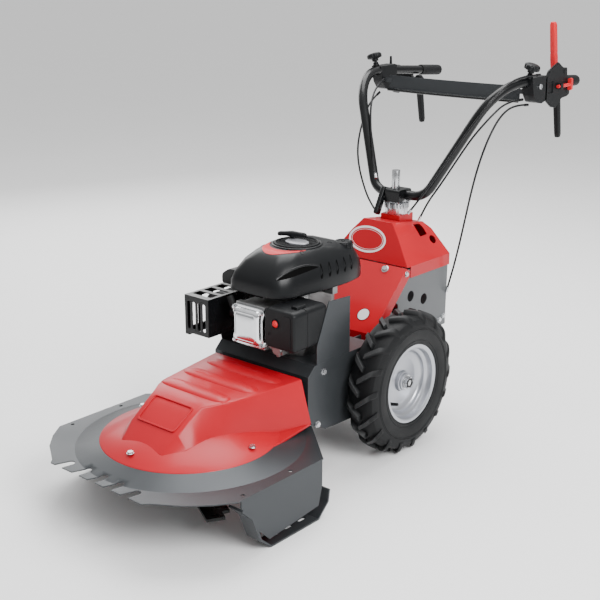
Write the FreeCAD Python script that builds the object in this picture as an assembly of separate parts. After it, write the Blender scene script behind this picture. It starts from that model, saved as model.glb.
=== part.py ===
import FreeCAD, Part
import math
import os
from FreeCAD import Vector

# Walk-behind brush mower, in millimetres. +Z is up, the cutting deck points along -Y,
# +X is the left side as seen by the person who holds the bars. Shapes are drawn with y
# counted from the wheel axle; save() moves them so that the origin is on the ground under
# the middle of the machine.

# Driving dimensions
MIDDLE_SHIFT_Y = 25.76
WHEEL_RADIUS = 203
WHEEL_X = 224
TYRE_WIDTH = 92
AXLE_Z = WHEEL_RADIUS
AXLE_RADIUS = 15
SHEET = 3
PLATE = 4
RUNNING_GAP = 0.05
MOVING_GAP = 0.4

DECK_Z = 159
DECK_FRONT_Y = -903
SPINDLE_Y = -590
COVER_Y = -593
COVER_RADIUS = 228
DOME_SLOPE = 0.37
COMB_TIPS_X = (-119, -55, 4, 61, 121)
NOTCH_WIDTH = 22
NOTCH_DEPTH = 40
SKID_X = 318

BLADE_RADIUS = 255
BLADE_WIDTH = 66
BLADE_Z = 58
BLADE_ANGLE = -29
SPINDLE_RADIUS = 12.5

FRAME_X = 168
ENGINE_Z = 318
CRANK_Y = -180
CRANK_RADIUS = 12.5
BLADE_BELT_Z = 196
DRIVE_BELT_Z = 291
BELT_HEIGHT = 11
BELT_THICKNESS = 8
ENGINE_PULLEY_R = 45
SPINDLE_PULLEY_R = 50
DRIVE_PULLEY_R = 30
INPUT_PULLEY_R = 48

WORM_RADIUS = 14
WORM_WHEEL_RADIUS = 63
WORM_WHEEL_TEETH = 30
WORM_Y = -78

PANEL_X = 138
YAW_Y = 272
HEAD_Z = 600
BAR_Y = 285
BAR_Z = 655
BAR_RADIUS = 14
GRIP_RADIUS = 16.5
CABLE_RADIUS = 3
LEVER_X = 254
CHEEK_X = 285
CLUTCH_PIVOT = (734, 940)
RED_PIVOT = (712, 998)
CLAMP_PIVOT = (256, 668)
ROPE_EXIT = (-31, -165)
ROPE_RADIUS = 34

X_AXIS = Vector(1, 0, 0)
Y_AXIS = Vector(0, 1, 0)
Z_AXIS = Vector(0, 0, 1)
AXES = {"x": X_AXIS, "y": Y_AXIS, "z": Z_AXIS}


# Shape helpers

def box(x0, x1, y0, y1, z0, z1):
    return Part.makeBox(x1 - x0, y1 - y0, z1 - z0, Vector(x0, y0, z0))


def direction(axis):
    """A Vector for an axis letter; a Vector passes through."""
    return AXES[axis] if isinstance(axis, str) else axis


def rod(radius, start, axis, length):
    return Part.makeCylinder(radius, length, Vector(*start), direction(axis))


def ring(outer, inner, start, axis, length):
    return rod(outer, start, axis, length).cut(rod(inner, start, axis, length))


def cone(r0, r1, z0, z1, x=0, y=0):
    return Part.makeCone(r0, r1, z1 - z0, Vector(x, y, z0), Z_AXIS)


def place(axis, a, b, level):
    """A point of the plane across the axis: (y, z) for x, (x, z) for y and (x, y) for z."""
    if axis == "x":
        return Vector(level, a, b)
    if axis == "y":
        return Vector(a, level, b)
    return Vector(a, b, level)


def prism(outline, axis, low, high):
    points = [place(axis, a, b, low) for a, b in outline]
    face = Part.Face(Part.makePolygon(points + points[:1]))
    return face.extrude(AXES[axis] * (high - low))


def soften(solid, radius, axis):
    """Rounds the straight edges that run along the axis."""
    edges = []
    for edge in solid.Edges:
        if edge.Curve.TypeId == "Part::GeomLine":
            along = edge.Vertexes[-1].Point.sub(edge.Vertexes[0].Point)
            if along.Length > 0 and abs(along.normalize().dot(AXES[axis])) > 0.999:
                edges.append(edge)
    return solid.makeFillet(radius, edges)


def revolve(outline, centre, axis):
    """Turns an outline of (along the axis, radius) points about the axis."""
    along = AXES[axis]
    side = Z_AXIS if axis == "x" else X_AXIS
    origin = Vector(*centre)
    points = [origin + along * a + side * r for a, r in outline]
    face = Part.Face(Part.makePolygon(points + points[:1]))
    return face.revolve(origin, along, 360)


def hexagon(across_flats, start, axis, height):
    radius = across_flats / math.sqrt(3)
    corners = [(radius * math.cos(math.radians(60 * k)), radius * math.sin(math.radians(60 * k)))
               for k in range(6)]
    shape = prism(corners, axis, 0, height)
    shape.translate(Vector(*start))
    return shape


def mirrored(shape):
    return shape.mirror(Vector(0, 0, 0), X_AXIS)


def both_sides(shape):
    return [shape, mirrored(shape)]


def fuse(*shapes):
    return shapes[0].multiFuse(list(shapes[1:])).removeSplitter()


def turned(shape, centre, axis, degrees):
    shape = shape.copy()
    shape.rotate(Vector(*centre), AXES[axis], degrees)
    return shape


def round_route(points, radii):
    """Straight runs joined by tangent arcs, one radius for each inner point."""
    points = [Vector(*p) for p in points]
    edges = []
    start = points[0]
    for before, corner, after, radius in zip(points, points[1:], points[2:], radii):
        back = (before - corner).normalize()
        onward = (after - corner).normalize()
        half_turn = (math.pi - back.getAngle(onward)) / 2
        reach = radius * math.tan(half_turn)
        first = corner + back * reach
        last = corner + onward * reach
        inward = (back + onward).normalize()
        middle = corner + inward * (radius / math.cos(half_turn) - radius)
        edges.append(Part.LineSegment(start, first).toShape())
        edges.append(Part.Arc(first, middle, last).toShape())
        start = last
    edges.append(Part.LineSegment(start, points[-1]).toShape())
    return Part.Wire(edges)


def tube(points, radii, radius):
    path = round_route(points, radii)
    start = Vector(*points[0])
    heading = (Vector(*points[1]) - start).normalize()
    section = Part.Wire(Part.makeCircle(radius, start, heading))
    return path.makePipeShell([section], True, False)


def cable(points):
    """A control cable with each bend as large as its two runs allow."""
    vectors = [Vector(*p) for p in points]
    radii = []
    for before, corner, after in zip(vectors, vectors[1:], vectors[2:]):
        back = before - corner
        onward = after - corner
        half_turn = (math.pi - back.getAngle(onward)) / 2
        radii.append(0.45 * min(back.Length, onward.Length) / math.tan(half_turn))
    print("cable bend radii:", [round(r) for r in radii])
    solid = tube(points, radii, CABLE_RADIUS)
    length = round_route(points, radii).Length
    share = solid.Volume / (math.pi * CABLE_RADIUS ** 2 * length)
    print("cable length", round(length), "volume share", round(share, 4))
    return solid


def save(name, *solids):
    shape = Part.makeCompound(list(solids)) if len(solids) > 1 else solids[0].copy()
    shape.translate(Vector(0, MIDDLE_SHIFT_Y, 0))
    shape.exportStep(f"parts/{name}.step")


# Cutting deck

def dome_z(radius):
    """Height of the deck's low cone at a distance from the spindle."""
    return DECK_Z + DOME_SLOPE * (290 - radius) * 0.78


def comb_notch(tip_x):
    """A slot with a round end that leans towards +X on its way back from the front edge."""
    lean = 0.32
    left = tip_x - 31
    outline = [
        (left - lean * 20, DECK_FRONT_Y - 20),
        (left + NOTCH_WIDTH + 9 - lean * 20, DECK_FRONT_Y - 20),
        (left + NOTCH_WIDTH + lean * NOTCH_DEPTH, DECK_FRONT_Y + NOTCH_DEPTH - 10),
        (left + lean * NOTCH_DEPTH, DECK_FRONT_Y + NOTCH_DEPTH - 10),
    ]
    slot = prism(outline, "z", DECK_Z - 30, DECK_Z + 30)
    end_x = left + NOTCH_WIDTH / 2 + lean * NOTCH_DEPTH
    end = rod(NOTCH_WIDTH / 2, (end_x, DECK_FRONT_Y + NOTCH_DEPTH - 10, DECK_Z - 30), "z", 60)
    return fuse(slot, end)


def deck_shell():
    half = [(0, -903), (165, -903), (175, -891), (245, -846), (289, -802), (323, -754),
            (323, -456), (175, -325), (0, -325)]
    outline = half + [(-x, y) for x, y in reversed(half[1:-1])]
    low = DECK_Z - SHEET
    top_r = 200
    top_z = dome_z(top_r)
    plate = prism(outline, "z", low, DECK_Z).cut(rod(290, (0, SPINDLE_Y, low - 1), "z", SHEET + 2))
    outer = revolve([(low, 60), (low, 290.5), (DECK_Z, 290.5), (top_z, top_r), (top_z, 60)],
                    (0, SPINDLE_Y, 0), "z")
    inner = revolve([(low - 1, 50), (low - 1, 288), (low, 288), (top_z - SHEET, top_r - 3),
                     (top_z - SHEET, 50)], (0, SPINDLE_Y, 0), "z")
    lid = ring(205, 34, (0, SPINDLE_Y, top_z - SHEET), "z", SHEET)
    shell = fuse(plate, outer.cut(inner), lid.common(rod(top_r, (0, SPINDLE_Y, 0), "z", 400)))
    for tip_x in COMB_TIPS_X:
        shell = shell.cut(comb_notch(tip_x))
    for y in (-724, -560):
        for hole in both_sides(rod(5, (307, y, low - 5), "z", 20)):
            shell = shell.cut(hole)
    save("deck_shell", shell)


def cover_body(inset):
    """The raised nose of the red cover as ruled sections from front to back."""
    sections = [
        (-755 + inset, 80, 192, 79, 194),
        (-709 + inset, 106, 206, 81, 238),
        (-634 + inset, 121, 215, 84, 286),
        (-560, 141, 209, 122, 288),
        (-465, 160, 194, 138, 289),
        (-345, 188, 181, 157, 291),
    ]
    wires = []
    for y, low_x, low_z, top_x, top_z in sections:
        half = [(low_x - inset, 170), (low_x - inset, low_z), (top_x - inset, top_z - inset)]
        outline = half + [(-x, z) for x, z in reversed(half)]
        points = [Vector(x, y, z) for x, z in outline]
        wires.append(Part.makePolygon(points + points[:1]))
    return Part.makeLoft(wires, True, True)


def deck_cover():
    rim_z = 178
    top_r = 60
    top_z = rim_z + DOME_SLOPE * (COVER_RADIUS - top_r)
    flange = revolve([(rim_z - 8, 0), (rim_z - 8, COVER_RADIUS), (rim_z, COVER_RADIUS),
                      (top_z, top_r), (top_z, 0)], (0, COVER_Y, 0), "z")
    tail = prism([(-189, -345), (189, -345), (215, -520), (-215, -520)], "z", rim_z - 8, rim_z)
    outer = fuse(flange, cover_body(0), tail)
    for rib_y, half_width in ((-571, 110), (-483, 122), (-396, 132)):
        rib = rod(13, (-half_width, rib_y, 281), "x", 2 * half_width)
        outer = fuse(outer, rib)
    hollow_r = COVER_RADIUS - SHEET
    hollow = revolve([(rim_z - 9, 0), (rim_z - 9, hollow_r), (rim_z - SHEET, hollow_r),
                      (top_z - SHEET, top_r), (top_z - SHEET, 0)], (0, COVER_Y, 0), "z")
    tail_hollow = prism([(-186, -341), (186, -341), (212, -520), (-212, -520)], "z",
                        rim_z - 9, rim_z - SHEET)
    inner_body = cover_body(SHEET).common(box(-400, 400, -900, -340, 100, 400))
    open_back = prism([(-185, 168), (-185, 180), (-153, 287), (153, 287), (185, 180), (185, 168)],
                      "y", -350, -340)
    cover = outer.cut(fuse(hollow, inner_body, tail_hollow)).cut(open_back)
    deck_top = revolve([(100, 0), (100, 300), (DECK_Z + MOVING_GAP, 300),
                        (DECK_Z + MOVING_GAP, 290.5), (dome_z(200) + MOVING_GAP, 200),
                        (dome_z(200) + MOVING_GAP, 0)], (0, SPINDLE_Y, 0), "z")
    save("deck_cover", cover.cut(deck_top))


def skid():
    side = prism([(-742, 120), (-742, 154), (-456, 154), (-456, 87), (-470, 36), (-649, 20),
                  (-690, 60), (-713, 98)], "x", SKID_X - 2, SKID_X + 2)
    run = [(-431, 68), (-436, 36), (-475, 0), (-649, 0), (-686, 31), (-713, 98), (-746, 130)]
    inner = [(-742, 134), (-708, 101), (-682, 35), (-648, 5), (-477, 5), (-441, 38), (-436, 68)]
    strip = prism(run + inner, "x", 281, 325)
    ear = box(SKID_X - 2, SKID_X + 2, -742, -456, 150, DECK_Z - SHEET)
    lugs = [box(290, SKID_X + 2, y, y + 30, DECK_Z - SHEET - 4, DECK_Z - SHEET)
            for y in (-705, -525)]
    body = fuse(side, strip, ear, *lugs)
    for y in (-470, -520, -570, -620):
        slot = soften(box(288, 300, y, y + 28, -2, 8), 5, "z")
        body = body.cut(slot)
    return body


def skids():
    save("skids", *both_sides(skid()))


def spindle_housing():
    top = dome_z(200) - SHEET - RUNNING_GAP
    flange = ring(62, 26, (0, SPINDLE_Y, top - 10), "z", 10)
    barrel = ring(33, 26, (0, SPINDLE_Y, 84), "z", top - 84)
    webs = [box(-3, 3, SPINDLE_Y + 30, SPINDLE_Y + 58, 120, top - 5)]
    webs += [turned(webs[0], (0, SPINDLE_Y, 0), "z", 90 * k) for k in (1, 2, 3)]
    save("spindle_housing", fuse(flange, barrel, *webs))


def ball_bearings():
    """Two deep-groove bearings on the blade spindle, two on the axle and two on the worm."""
    rings = []
    for z in (86, 150):
        rings.append(ring(26, SPINDLE_RADIUS + RUNNING_GAP, (0, SPINDLE_Y, z), "z", 15))
    for x in (-146, 130):
        rings.append(ring(31, AXLE_RADIUS + RUNNING_GAP, (x, 0, AXLE_Z), "x", 16))
    for z in (140, 226):
        rings.append(ring(17.5, 10 + RUNNING_GAP, (0, WORM_Y, z), "z", 11))
    save("ball_bearings", *rings)


def belt_loop(z, y0, r0, y1, r1, thickness):
    """A V-belt round two pulleys on the centre plane, 0.4 mm clear of both grooves."""
    low, high = sorted(((y0, r0), (y1, r1)))
    lean = math.asin((low[1] - high[1]) / (high[0] - low[0]))

    def loop(extra):
        """Both end arcs and the two straight spans that touch them."""
        edges = []
        ends = []
        for (y, r), middle in ((high, math.pi / 2), (low, -math.pi / 2)):
            half = math.pi / 2 + (-lean if middle > 0 else lean)
            arc = [Vector((r + extra) * math.cos(middle + k * half),
                          y + (r + extra) * math.sin(middle + k * half), z) for k in (-1, 0, 1)]
            edges.append(Part.Arc(*arc).toShape())
            ends.append(arc)
        edges.insert(1, Part.LineSegment(ends[0][2], ends[1][0]).toShape())
        edges.append(Part.LineSegment(ends[1][2], ends[0][0]).toShape())
        return Part.Face(Part.Wire(edges)).extrude(Z_AXIS * BELT_HEIGHT)

    return loop(thickness).cut(loop(0))


def drive_belts():
    blade_belt = belt_loop(BLADE_BELT_Z, CRANK_Y, ENGINE_PULLEY_R + 1, SPINDLE_Y,
                           SPINDLE_PULLEY_R + 1, BELT_THICKNESS)
    wheel_belt = belt_loop(DRIVE_BELT_Z, CRANK_Y, DRIVE_PULLEY_R + 1, WORM_Y,
                           INPUT_PULLEY_R + 1, 5)
    save("drive_belts", blade_belt, wheel_belt)


def pulley(radius, bore, y, z):
    """A pulley with a groove as deep as the belt and two thin cheeks."""
    core = ring(radius, bore, (0, y, z - 2), "z", BELT_HEIGHT + 4)
    low = ring(radius + 6, bore, (0, y, z - 4), "z", 3)
    high = ring(radius + 6, bore, (0, y, z + BELT_HEIGHT + 1), "z", 3)
    return fuse(core, low, high)


def blade_rotor():
    shaft = fuse(rod(SPINDLE_RADIUS, (0, SPINDLE_Y, BLADE_Z + 8), "z", 160),
                 rod(20, (0, SPINDLE_Y, BLADE_Z + 8), "z", 14))
    save("spindle_shaft", shaft)
    save("spindle_pulley", pulley(SPINDLE_PULLEY_R, SPINDLE_RADIUS, SPINDLE_Y, BLADE_BELT_Z))
    half = BLADE_WIDTH / 2
    outline = [(-BLADE_RADIUS + 6, -half), (BLADE_RADIUS - 6, -half), (BLADE_RADIUS - 4, half - 20),
               (BLADE_RADIUS - 34, half - 20), (BLADE_RADIUS - 34, half), (-BLADE_RADIUS + 6, half),
               (-BLADE_RADIUS + 4, 20 - half), (-BLADE_RADIUS + 34, 20 - half),
               (-BLADE_RADIUS + 34, -half)]
    outline = [p for p in outline if p != (-BLADE_RADIUS + 6, -half)]
    bar = prism(outline, "z", BLADE_Z, BLADE_Z + 8)
    bar.translate(Vector(0, SPINDLE_Y, 0))
    bar = bar.cut(rod(8, (0, SPINDLE_Y, BLADE_Z - 1), "z", 10))
    save("cutter_blade", turned(bar, (0, SPINDLE_Y, 0), "z", BLADE_ANGLE))
    disc = cone(30, 34, BLADE_Z - 12, BLADE_Z, y=SPINDLE_Y)
    head = hexagon(24, (0, SPINDLE_Y, BLADE_Z - 22), "z", 11)
    save("blade_bolt", fuse(disc, head, rod(8, (0, SPINDLE_Y, BLADE_Z - 12), "z", 20)))


TENSION_PIVOT = (112, -372)
TENSION_ROLLER = (80, -412)


def belt_tensioner():
    """A swinging arm with a flat roller that presses on the blade belt."""
    px, py = TENSION_PIVOT
    rx, ry = TENSION_ROLLER
    z = BLADE_BELT_Z + BELT_HEIGHT + 6
    hub = ring(10, 5 + RUNNING_GAP, (px, py, z), "z", 12)
    length = math.hypot(rx - px, ry - py)
    arm = box(0, length, -7, 7, z, z + 5)
    arm.translate(Vector(px, py, 0))
    arm = turned(arm, (px, py, 0), "z", math.degrees(math.atan2(ry - py, rx - px)))
    arm = arm.cut(rod(8, (px, py, z - 1), "z", 8))
    boss = rod(9, (rx, ry, z), "z", 5)
    roller = rod(16, (rx, ry, BLADE_BELT_Z), "z", z - BLADE_BELT_Z)
    save("belt_tensioner", fuse(hub, arm, boss, roller))


# Frame and body panels

def engine_frame():
    side = prism([(-332, 180), (-315, 155), (-260, 128), (-207, 125), (-100, 122), (-60, 150),
                  (-60, ENGINE_Z), (-306, ENGINE_Z), (-332, 293)], "x", FRAME_X - PLATE, FRAME_X)
    front = box(-FRAME_X + 1, FRAME_X - 1, -332, -328, 180, 294)
    chamfer = prism([(-332, 293), (-306, ENGINE_Z), (-303, ENGINE_Z - 3), (-328, 291)], "x",
                    -FRAME_X + 1, FRAME_X - 1)
    deck = box(-FRAME_X + 1, FRAME_X - 1, -306, -60, ENGINE_Z - PLATE, ENGINE_Z)
    rails = [box(x, x + 5, -303, 340, 268, ENGINE_Z - PLATE) for x in (-100, 95)]
    tie_back = box(6 - PANEL_X, PANEL_X - 6, 250, 258, 268, ENGINE_Z - PLATE)
    deck_tabs = [box(x, x + 5, -330, -310, DECK_Z, 200) for x in (-150, 145)]
    body = fuse(*both_sides(side), front, chamfer, deck, *rails, tie_back, *deck_tabs)
    body = body.cut(rod(24, (0, CRANK_Y, ENGINE_Z - 20), "z", 40))
    body = body.cut(box(-75, 75, -340, -320, 175, 222))
    pivot_x, pivot_y = TENSION_PIVOT
    pin = rod(5, (pivot_x, pivot_y, DECK_Z), "z", 74)
    pin_arm = box(pivot_x - 8, pivot_x + 8, pivot_y - 6, -328, 184, 189)
    save("engine_frame", fuse(body, pin_arm, pin.cut(box(0, 200, -500, -300, 100, 184))))


def engine_guard():
    """Side plates that stand up beside the engine; the right one passes under the muffler."""
    left = prism([(-296, ENGINE_Z), (-296, 368), (-248, 480), (-160, 475),
                  (-160, ENGINE_Z)], "x", FRAME_X - SHEET, FRAME_X)
    right = prism([(-306, ENGINE_Z), (-311, 336), (-298, 349), (-203, 349), (-196, 384),
                   (-62, 384), (-62, ENGINE_Z)], "x", -FRAME_X, -FRAME_X + SHEET)
    save("engine_guard", left, right)


def gearbox_housing():
    case = rod(82, (-48, 0, AXLE_Z), "x", 96)
    arms = rod(36, (-150, 0, AXLE_Z), "x", 300)
    worm_tower = rod(27, (0, WORM_Y, 132), "z", 108)
    feet = [box(x, x + 14, -40, 90, 230, 268) for x in (-104, 90)]
    body = case
    for piece in (arms, worm_tower, box(-97, 97, -10, 60, 244, 264), *feet):
        body = body.fuse(piece)
    body = body.cut(rod(72, (-40, 0, AXLE_Z), "x", 80))
    body = body.cut(rod(AXLE_RADIUS + 4, (-160, 0, AXLE_Z), "x", 320))
    body = body.cut(rod(22, (0, WORM_Y, 151), "z", 75))
    body = body.cut(rod(17.5, (0, WORM_Y, 140), "z", 11))
    body = body.cut(rod(17.5, (0, WORM_Y, 226), "z", 36))
    for x in (-151, 130):
        body = body.cut(rod(31, (x, 0, AXLE_Z), "x", 21))
    save("gearbox_housing", body)


def worm_drive():
    shaft = fuse(rod(10, (0, WORM_Y, 141), "z", 166), rod(WORM_RADIUS, (0, WORM_Y, 160), "z", 60))
    save("worm_shaft", shaft)
    save("input_pulley", pulley(INPUT_PULLEY_R, 10, WORM_Y, DRIVE_BELT_Z))
    wheel = ring(WORM_WHEEL_RADIUS, AXLE_RADIUS, (-12, 0, AXLE_Z), "x", 24)
    gap = box(-13, 13, -1.6, 1.6, AXLE_Z + WORM_WHEEL_RADIUS - 7, AXLE_Z + WORM_WHEEL_RADIUS + 2)
    gaps = [turned(gap, (0, 0, AXLE_Z), "x", 360 * k / WORM_WHEEL_TEETH)
            for k in range(WORM_WHEEL_TEETH)]
    save("worm_wheel", wheel.cut(Part.makeCompound(gaps)))


def rear_housing():
    """One bent sheet: two side walls with round holes, joined by the back wall."""
    wall = prism([(134, 474), (353.5, 474), (350, 262), (66, 262), (-5, 330)], "x",
                 PANEL_X - 6, PANEL_X - 3)
    for y, z in ((165, 391), (232, 368), (88, 372)):
        wall = wall.cut(rod(16, (PANEL_X - 20, y, z), "x", 30))
    back = prism([(353.5, 474), (350, 262), (347, 262), (350.5, 474)], "x", 6 - PANEL_X,
                 PANEL_X - 6)
    save("rear_housing", fuse(*both_sides(wall), back))


def lower_panel():
    """The sloping red sheet in front of the hood, with side flanges and a bent-down foot."""
    slope = prism([(136, 480), (-22, 322), (-22, 284), (-19, 284), (-19, 321), (138, 478)], "x",
                  -PANEL_X, PANEL_X)
    flange = prism([(136, 480), (-22, 322), (-22, 284), (22, 284), (22, 322), (154, 454),
                    (154, 470), (138, 478)], "x", PANEL_X - SHEET, PANEL_X)
    panel = fuse(slope, *both_sides(flange))
    for notch in both_sides(box(94.6, 100.4, -30, 0, 280, ENGINE_Z - PLATE + MOVING_GAP)):
        panel = panel.cut(notch)
    save("lower_panel", panel)


def hood_solid(inset, floor):
    top = [(-52 + inset, 180 + inset), (52 - inset, 180 + inset), (60 - inset, 323 - inset),
           (-60 + inset, 323 - inset)]
    lip = [(-138 + inset, 140 + inset), (138 - inset, 140 + inset), (138 - inset, 357 - inset),
           (-138 + inset, 357 - inset)]
    levels = [(lip, floor), (lip, 482)]
    wires = []
    for outline, z in levels:
        points = [Vector(x, y, z) for x, y in outline]
        wires.append(Part.makePolygon(points + points[:1]))
    skirt = Part.makeLoft(wires, True, True)
    heights = (592 - inset, 592 - inset, 573 - inset, 573 - inset)
    crown = [Vector(x, y, z) for (x, y), z in zip(top, heights)]
    base = [Vector(x, y, 482) for x, y in lip]
    faces = [Part.Face(Part.makePolygon(base + base[:1])),
             Part.Face(Part.makePolygon(crown + crown[:1]))]
    for k in range(4):
        n = (k + 1) % 4
        for three in ((base[k], base[n], crown[n]), (base[k], crown[n], crown[k])):
            faces.append(Part.Face(Part.makePolygon(list(three) + [three[0]])))
    roof = Part.makeSolid(Part.makeShell(faces))
    if roof.Volume < 0:
        roof.reverse()
    return fuse(skirt, roof)


def top_cover():
    shell = hood_solid(0, 448).cut(hood_solid(SHEET, 440))
    front_opening = box(-PANEL_X - 1, PANEL_X + 1, 100, 156, 430, 484)
    shell = shell.cut(front_opening)
    shell = shell.cut(box(-38, 38, 235, 312, 560, 620))
    slot = box(66, 88, 266, 297, 530, 600)
    normal = Vector(0.785, 0, 0.62)
    hole = rod(13, Vector(100, 312, 524) - normal * 20, normal, 40)
    save("top_cover", shell.cut(slot).cut(hole))


def steering_bracket():
    """Folded red seat under the toothed head, standing on a post from the frame rails."""
    seat = box(-34, 34, 240, 308, HEAD_Z - 4, HEAD_Z - MOVING_GAP)
    walls = [box(x, x + 4, 240, 308, 556, HEAD_Z - 4) for x in (-34, 30)]
    front = box(-34, 34, 240, 244, 560, HEAD_Z - 4)
    floor = box(-34, 34, 240, 308, 552, 556)
    post = ring(24, 20, (0, YAW_Y, 319), "z", 233)
    foot = box(-100, 100, 244, 300, ENGINE_Z - PLATE, 319)
    body = fuse(seat, *walls, front, floor, post, foot)
    save("steering_bracket", body.cut(rod(8 + RUNNING_GAP, (0, YAW_Y, 540), "z", 80)))


def bolt(start, axis, across=13, washer=9, length=6):
    """A hexagon head on a washer, standing out along the axis."""
    step = -1 if length < 0 else 1
    head = hexagon(across, start, axis, length)
    plate = rod(washer, start, axis if step > 0 else AXES[axis] * -1, 1.6)
    return fuse(head, plate)


def hex_bolts():
    heads = [bolt((0, -791, 192.6), "z"), *both_sides(bolt((198, -575, 192.8), "z"))]
    for y in (-690, -510):
        under = bolt((0, 0, 0), "z")
        under.rotate(Vector(0, 0, 0), X_AXIS, 180)
        under.translate(Vector(SKID_X - 13, y, DECK_Z - SHEET - 4))
        heads += both_sides(under)
    heads += both_sides(bolt((FRAME_X, -270, 293), "x"))
    heads += both_sides(bolt((FRAME_X, -294, 152), "x"))
    heads += both_sides(bolt((PANEL_X, 135, 464), "x", 11, 8, 5))
    heads += both_sides(bolt((PANEL_X - 3, 338, 290), "x", 11, 8, 5))
    heads += both_sides(bolt((PANEL_X - 3, 318, 282), "x", 11, 8, 5))
    save("hex_bolts", *heads)


# Engine

def engine_block():
    sump = soften(box(-105, 105, -285, -75, ENGINE_Z, ENGINE_Z + 50), 45, "z")
    upper = soften(box(-80, 80, -252, -95, ENGINE_Z + 50, 480), 35, "z")
    shelf = box(-112, 112, -165, -145, 468, 488)
    neck = box(-42, 42, -300, -260, ENGINE_Z + 12, 452)
    fins = [box(-56, 56, -345, -288, z, z + 4) for z in range(364, 456, 10)]
    barrel = box(-36, 36, -352, -288, 360, 456)
    head = box(-50, 50, -366, -350, 350, 466)
    port = box(30, 60, -332, -290, 345, 364)
    block = fuse(sump, upper, shelf, neck, barrel, head, port, *fins)
    bore = rod(CRANK_RADIUS + RUNNING_GAP, (0, CRANK_Y, ENGINE_Z - 30), "z", 200)
    save("engine_block", block.cut(bore))


def valve_cover():
    dome = soften(box(-53, 53, -384, -366, 354, 462), 18, "y")
    cap = soften(box(-41, 41, -391, -384, 366, 450), 14, "y")
    lip = soften(box(-45, 45, -386, -384, 362, 454), 15, "y")
    save("valve_cover", fuse(dome, cap, lip))


def crank_group():
    shaft = fuse(rod(CRANK_RADIUS, (0, CRANK_Y, 184), "z", 304),
                 rod(8, (0, CRANK_Y, 488), "z", 36))
    save("crankshaft", shaft)
    drive = pulley(DRIVE_PULLEY_R, CRANK_RADIUS, CRANK_Y, DRIVE_BELT_Z)
    blade = pulley(ENGINE_PULLEY_R, CRANK_RADIUS, CRANK_Y, BLADE_BELT_Z)
    sleeve = ring(18, CRANK_RADIUS, (0, CRANK_Y, BLADE_BELT_Z + 14), "z",
                  DRIVE_BELT_Z - BLADE_BELT_Z - 17)
    save("engine_pulley", fuse(drive, blade, sleeve))
    disc = ring(76, 8, (0, CRANK_Y, 490), "z", 14)
    fan = [turned(box(-1.5, 1.5, CRANK_Y + 42, CRANK_Y + 74, 503, 526), (0, CRANK_Y, 0), "z",
                  30 * k) for k in range(12)]
    save("flywheel", fuse(disc, *fan))


def outline_loft(levels, inset=0):
    """A ruled solid through closed outlines that share a number of corners."""
    wires = []
    for z, outline in levels:
        middle_y = sum(y for _, y in outline) / len(outline)
        points = []
        for x, y in outline:
            reach = math.hypot(x, y - middle_y)
            scale = (reach - inset) / reach
            points.append(Vector(x * scale, middle_y + (y - middle_y) * scale, z))
        wires.append(Part.makePolygon(points + points[:1]))
    return Part.makeLoft(wires, True, True)


SHROUD_LEVELS = [
    (488, [(-67, -352), (67, -352), (93, -318), (113, -200), (115, -100), (105, -40), (80, -2),
           (-80, -2), (-105, -40), (-115, -100), (-113, -200), (-93, -318)]),
    (530, [(-62, -350), (62, -350), (88, -314), (112, -200), (114, -96), (103, -36), (78, -4),
           (-78, -4), (-103, -36), (-114, -96), (-112, -200), (-88, -314)]),
    (566, [(-55, -325), (55, -325), (79, -292), (101, -196), (102, -100), (92, -48), (70, -22),
           (-70, -22), (-92, -48), (-102, -100), (-101, -196), (-79, -292)]),
    (592, [(-38, -282), (38, -282), (58, -262), (76, -196), (74, -140), (60, -104), (40, -88),
           (-40, -88), (-60, -104), (-74, -140), (-76, -196), (-58, -262)]),
]


def blower_housing():
    """Black cowl over the flywheel and tank, hollow and open underneath."""
    outer = outline_loft(SHROUD_LEVELS)
    inner_levels = [(z if k else z - 1, outline) for k, (z, outline) in enumerate(SHROUD_LEVELS)]
    inner_levels[-1] = (589, SHROUD_LEVELS[-1][1])
    inner = outline_loft(inner_levels, 5)
    ear = prism([(-150, 490), (-150, 518), (-122, 534), (-96, 534), (-96, 490)], "y", -318, -190)
    cap_seat = rod(32, (62, -60, 558), "z", 60).common(outer)
    shell = fuse(fuse(outer, ear).cut(inner), cap_seat)
    for k in range(5):
        y = -226 + 33 * k
        shell = shell.cut(box(95, 125, y, y + 7, 528, 560))
    shell = shell.cut(rod(66, (0, CRANK_Y, 580), "z", 40))
    shell = shell.cut(rod(29, (62, -60, 566), "z", 60))
    shell = shell.cut(rod(22, (62, -60, 540), "z", 60))
    save("blower_housing", shell)


def recoil_cover():
    """Round grille on top of the cowl; its stub carries the starter reel."""
    rim = fuse(ring(65, 56, (0, CRANK_Y, 582), "z", 10), ring(70, 56, (0, CRANK_Y, 592), "z", 5))
    plate = rod(58, (0, CRANK_Y, 592), "z", 5)
    for k in range(24):
        for reach, width in ((30, 4), (42, 6)):
            slot = box(-width / 2, width / 2, CRANK_Y + reach, CRANK_Y + reach + 10, 585, 605)
            plate = plate.cut(turned(slot, (0, CRANK_Y, 0), "z", 15 * k))
    badge = soften(box(-32, 32, CRANK_Y - 19, CRANK_Y + 19, 596, 600), 18, "z")
    stub = rod(6, (0, CRANK_Y, 556), "z", 40)
    eyelet = rod(8, (*ROPE_EXIT, 590), "z", 10)
    cover = fuse(rim, plate, badge, stub, eyelet)
    save("recoil_cover", cover.cut(rod(4, (*ROPE_EXIT, 550), "z", 70)))


def starter():
    reel = ring(40, 6 + RUNNING_GAP, (0, CRANK_Y, 560), "z", 16)
    groove = ring(42, ROPE_RADIUS, (0, CRANK_Y, 564), "z", 8)
    save("starter_reel", reel.cut(groove))
    grip = soften(box(-7, 7, -40, 40, 605, 620), 5, "x")
    bow = fuse(grip, rod(7, (0, 0, 600 + MOVING_GAP), "z", 8))
    bow = turned(bow, (0, 0, 0), "z", -67.5)
    bow.translate(Vector(*ROPE_EXIT, 0))
    save("starter_handle", bow)


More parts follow.
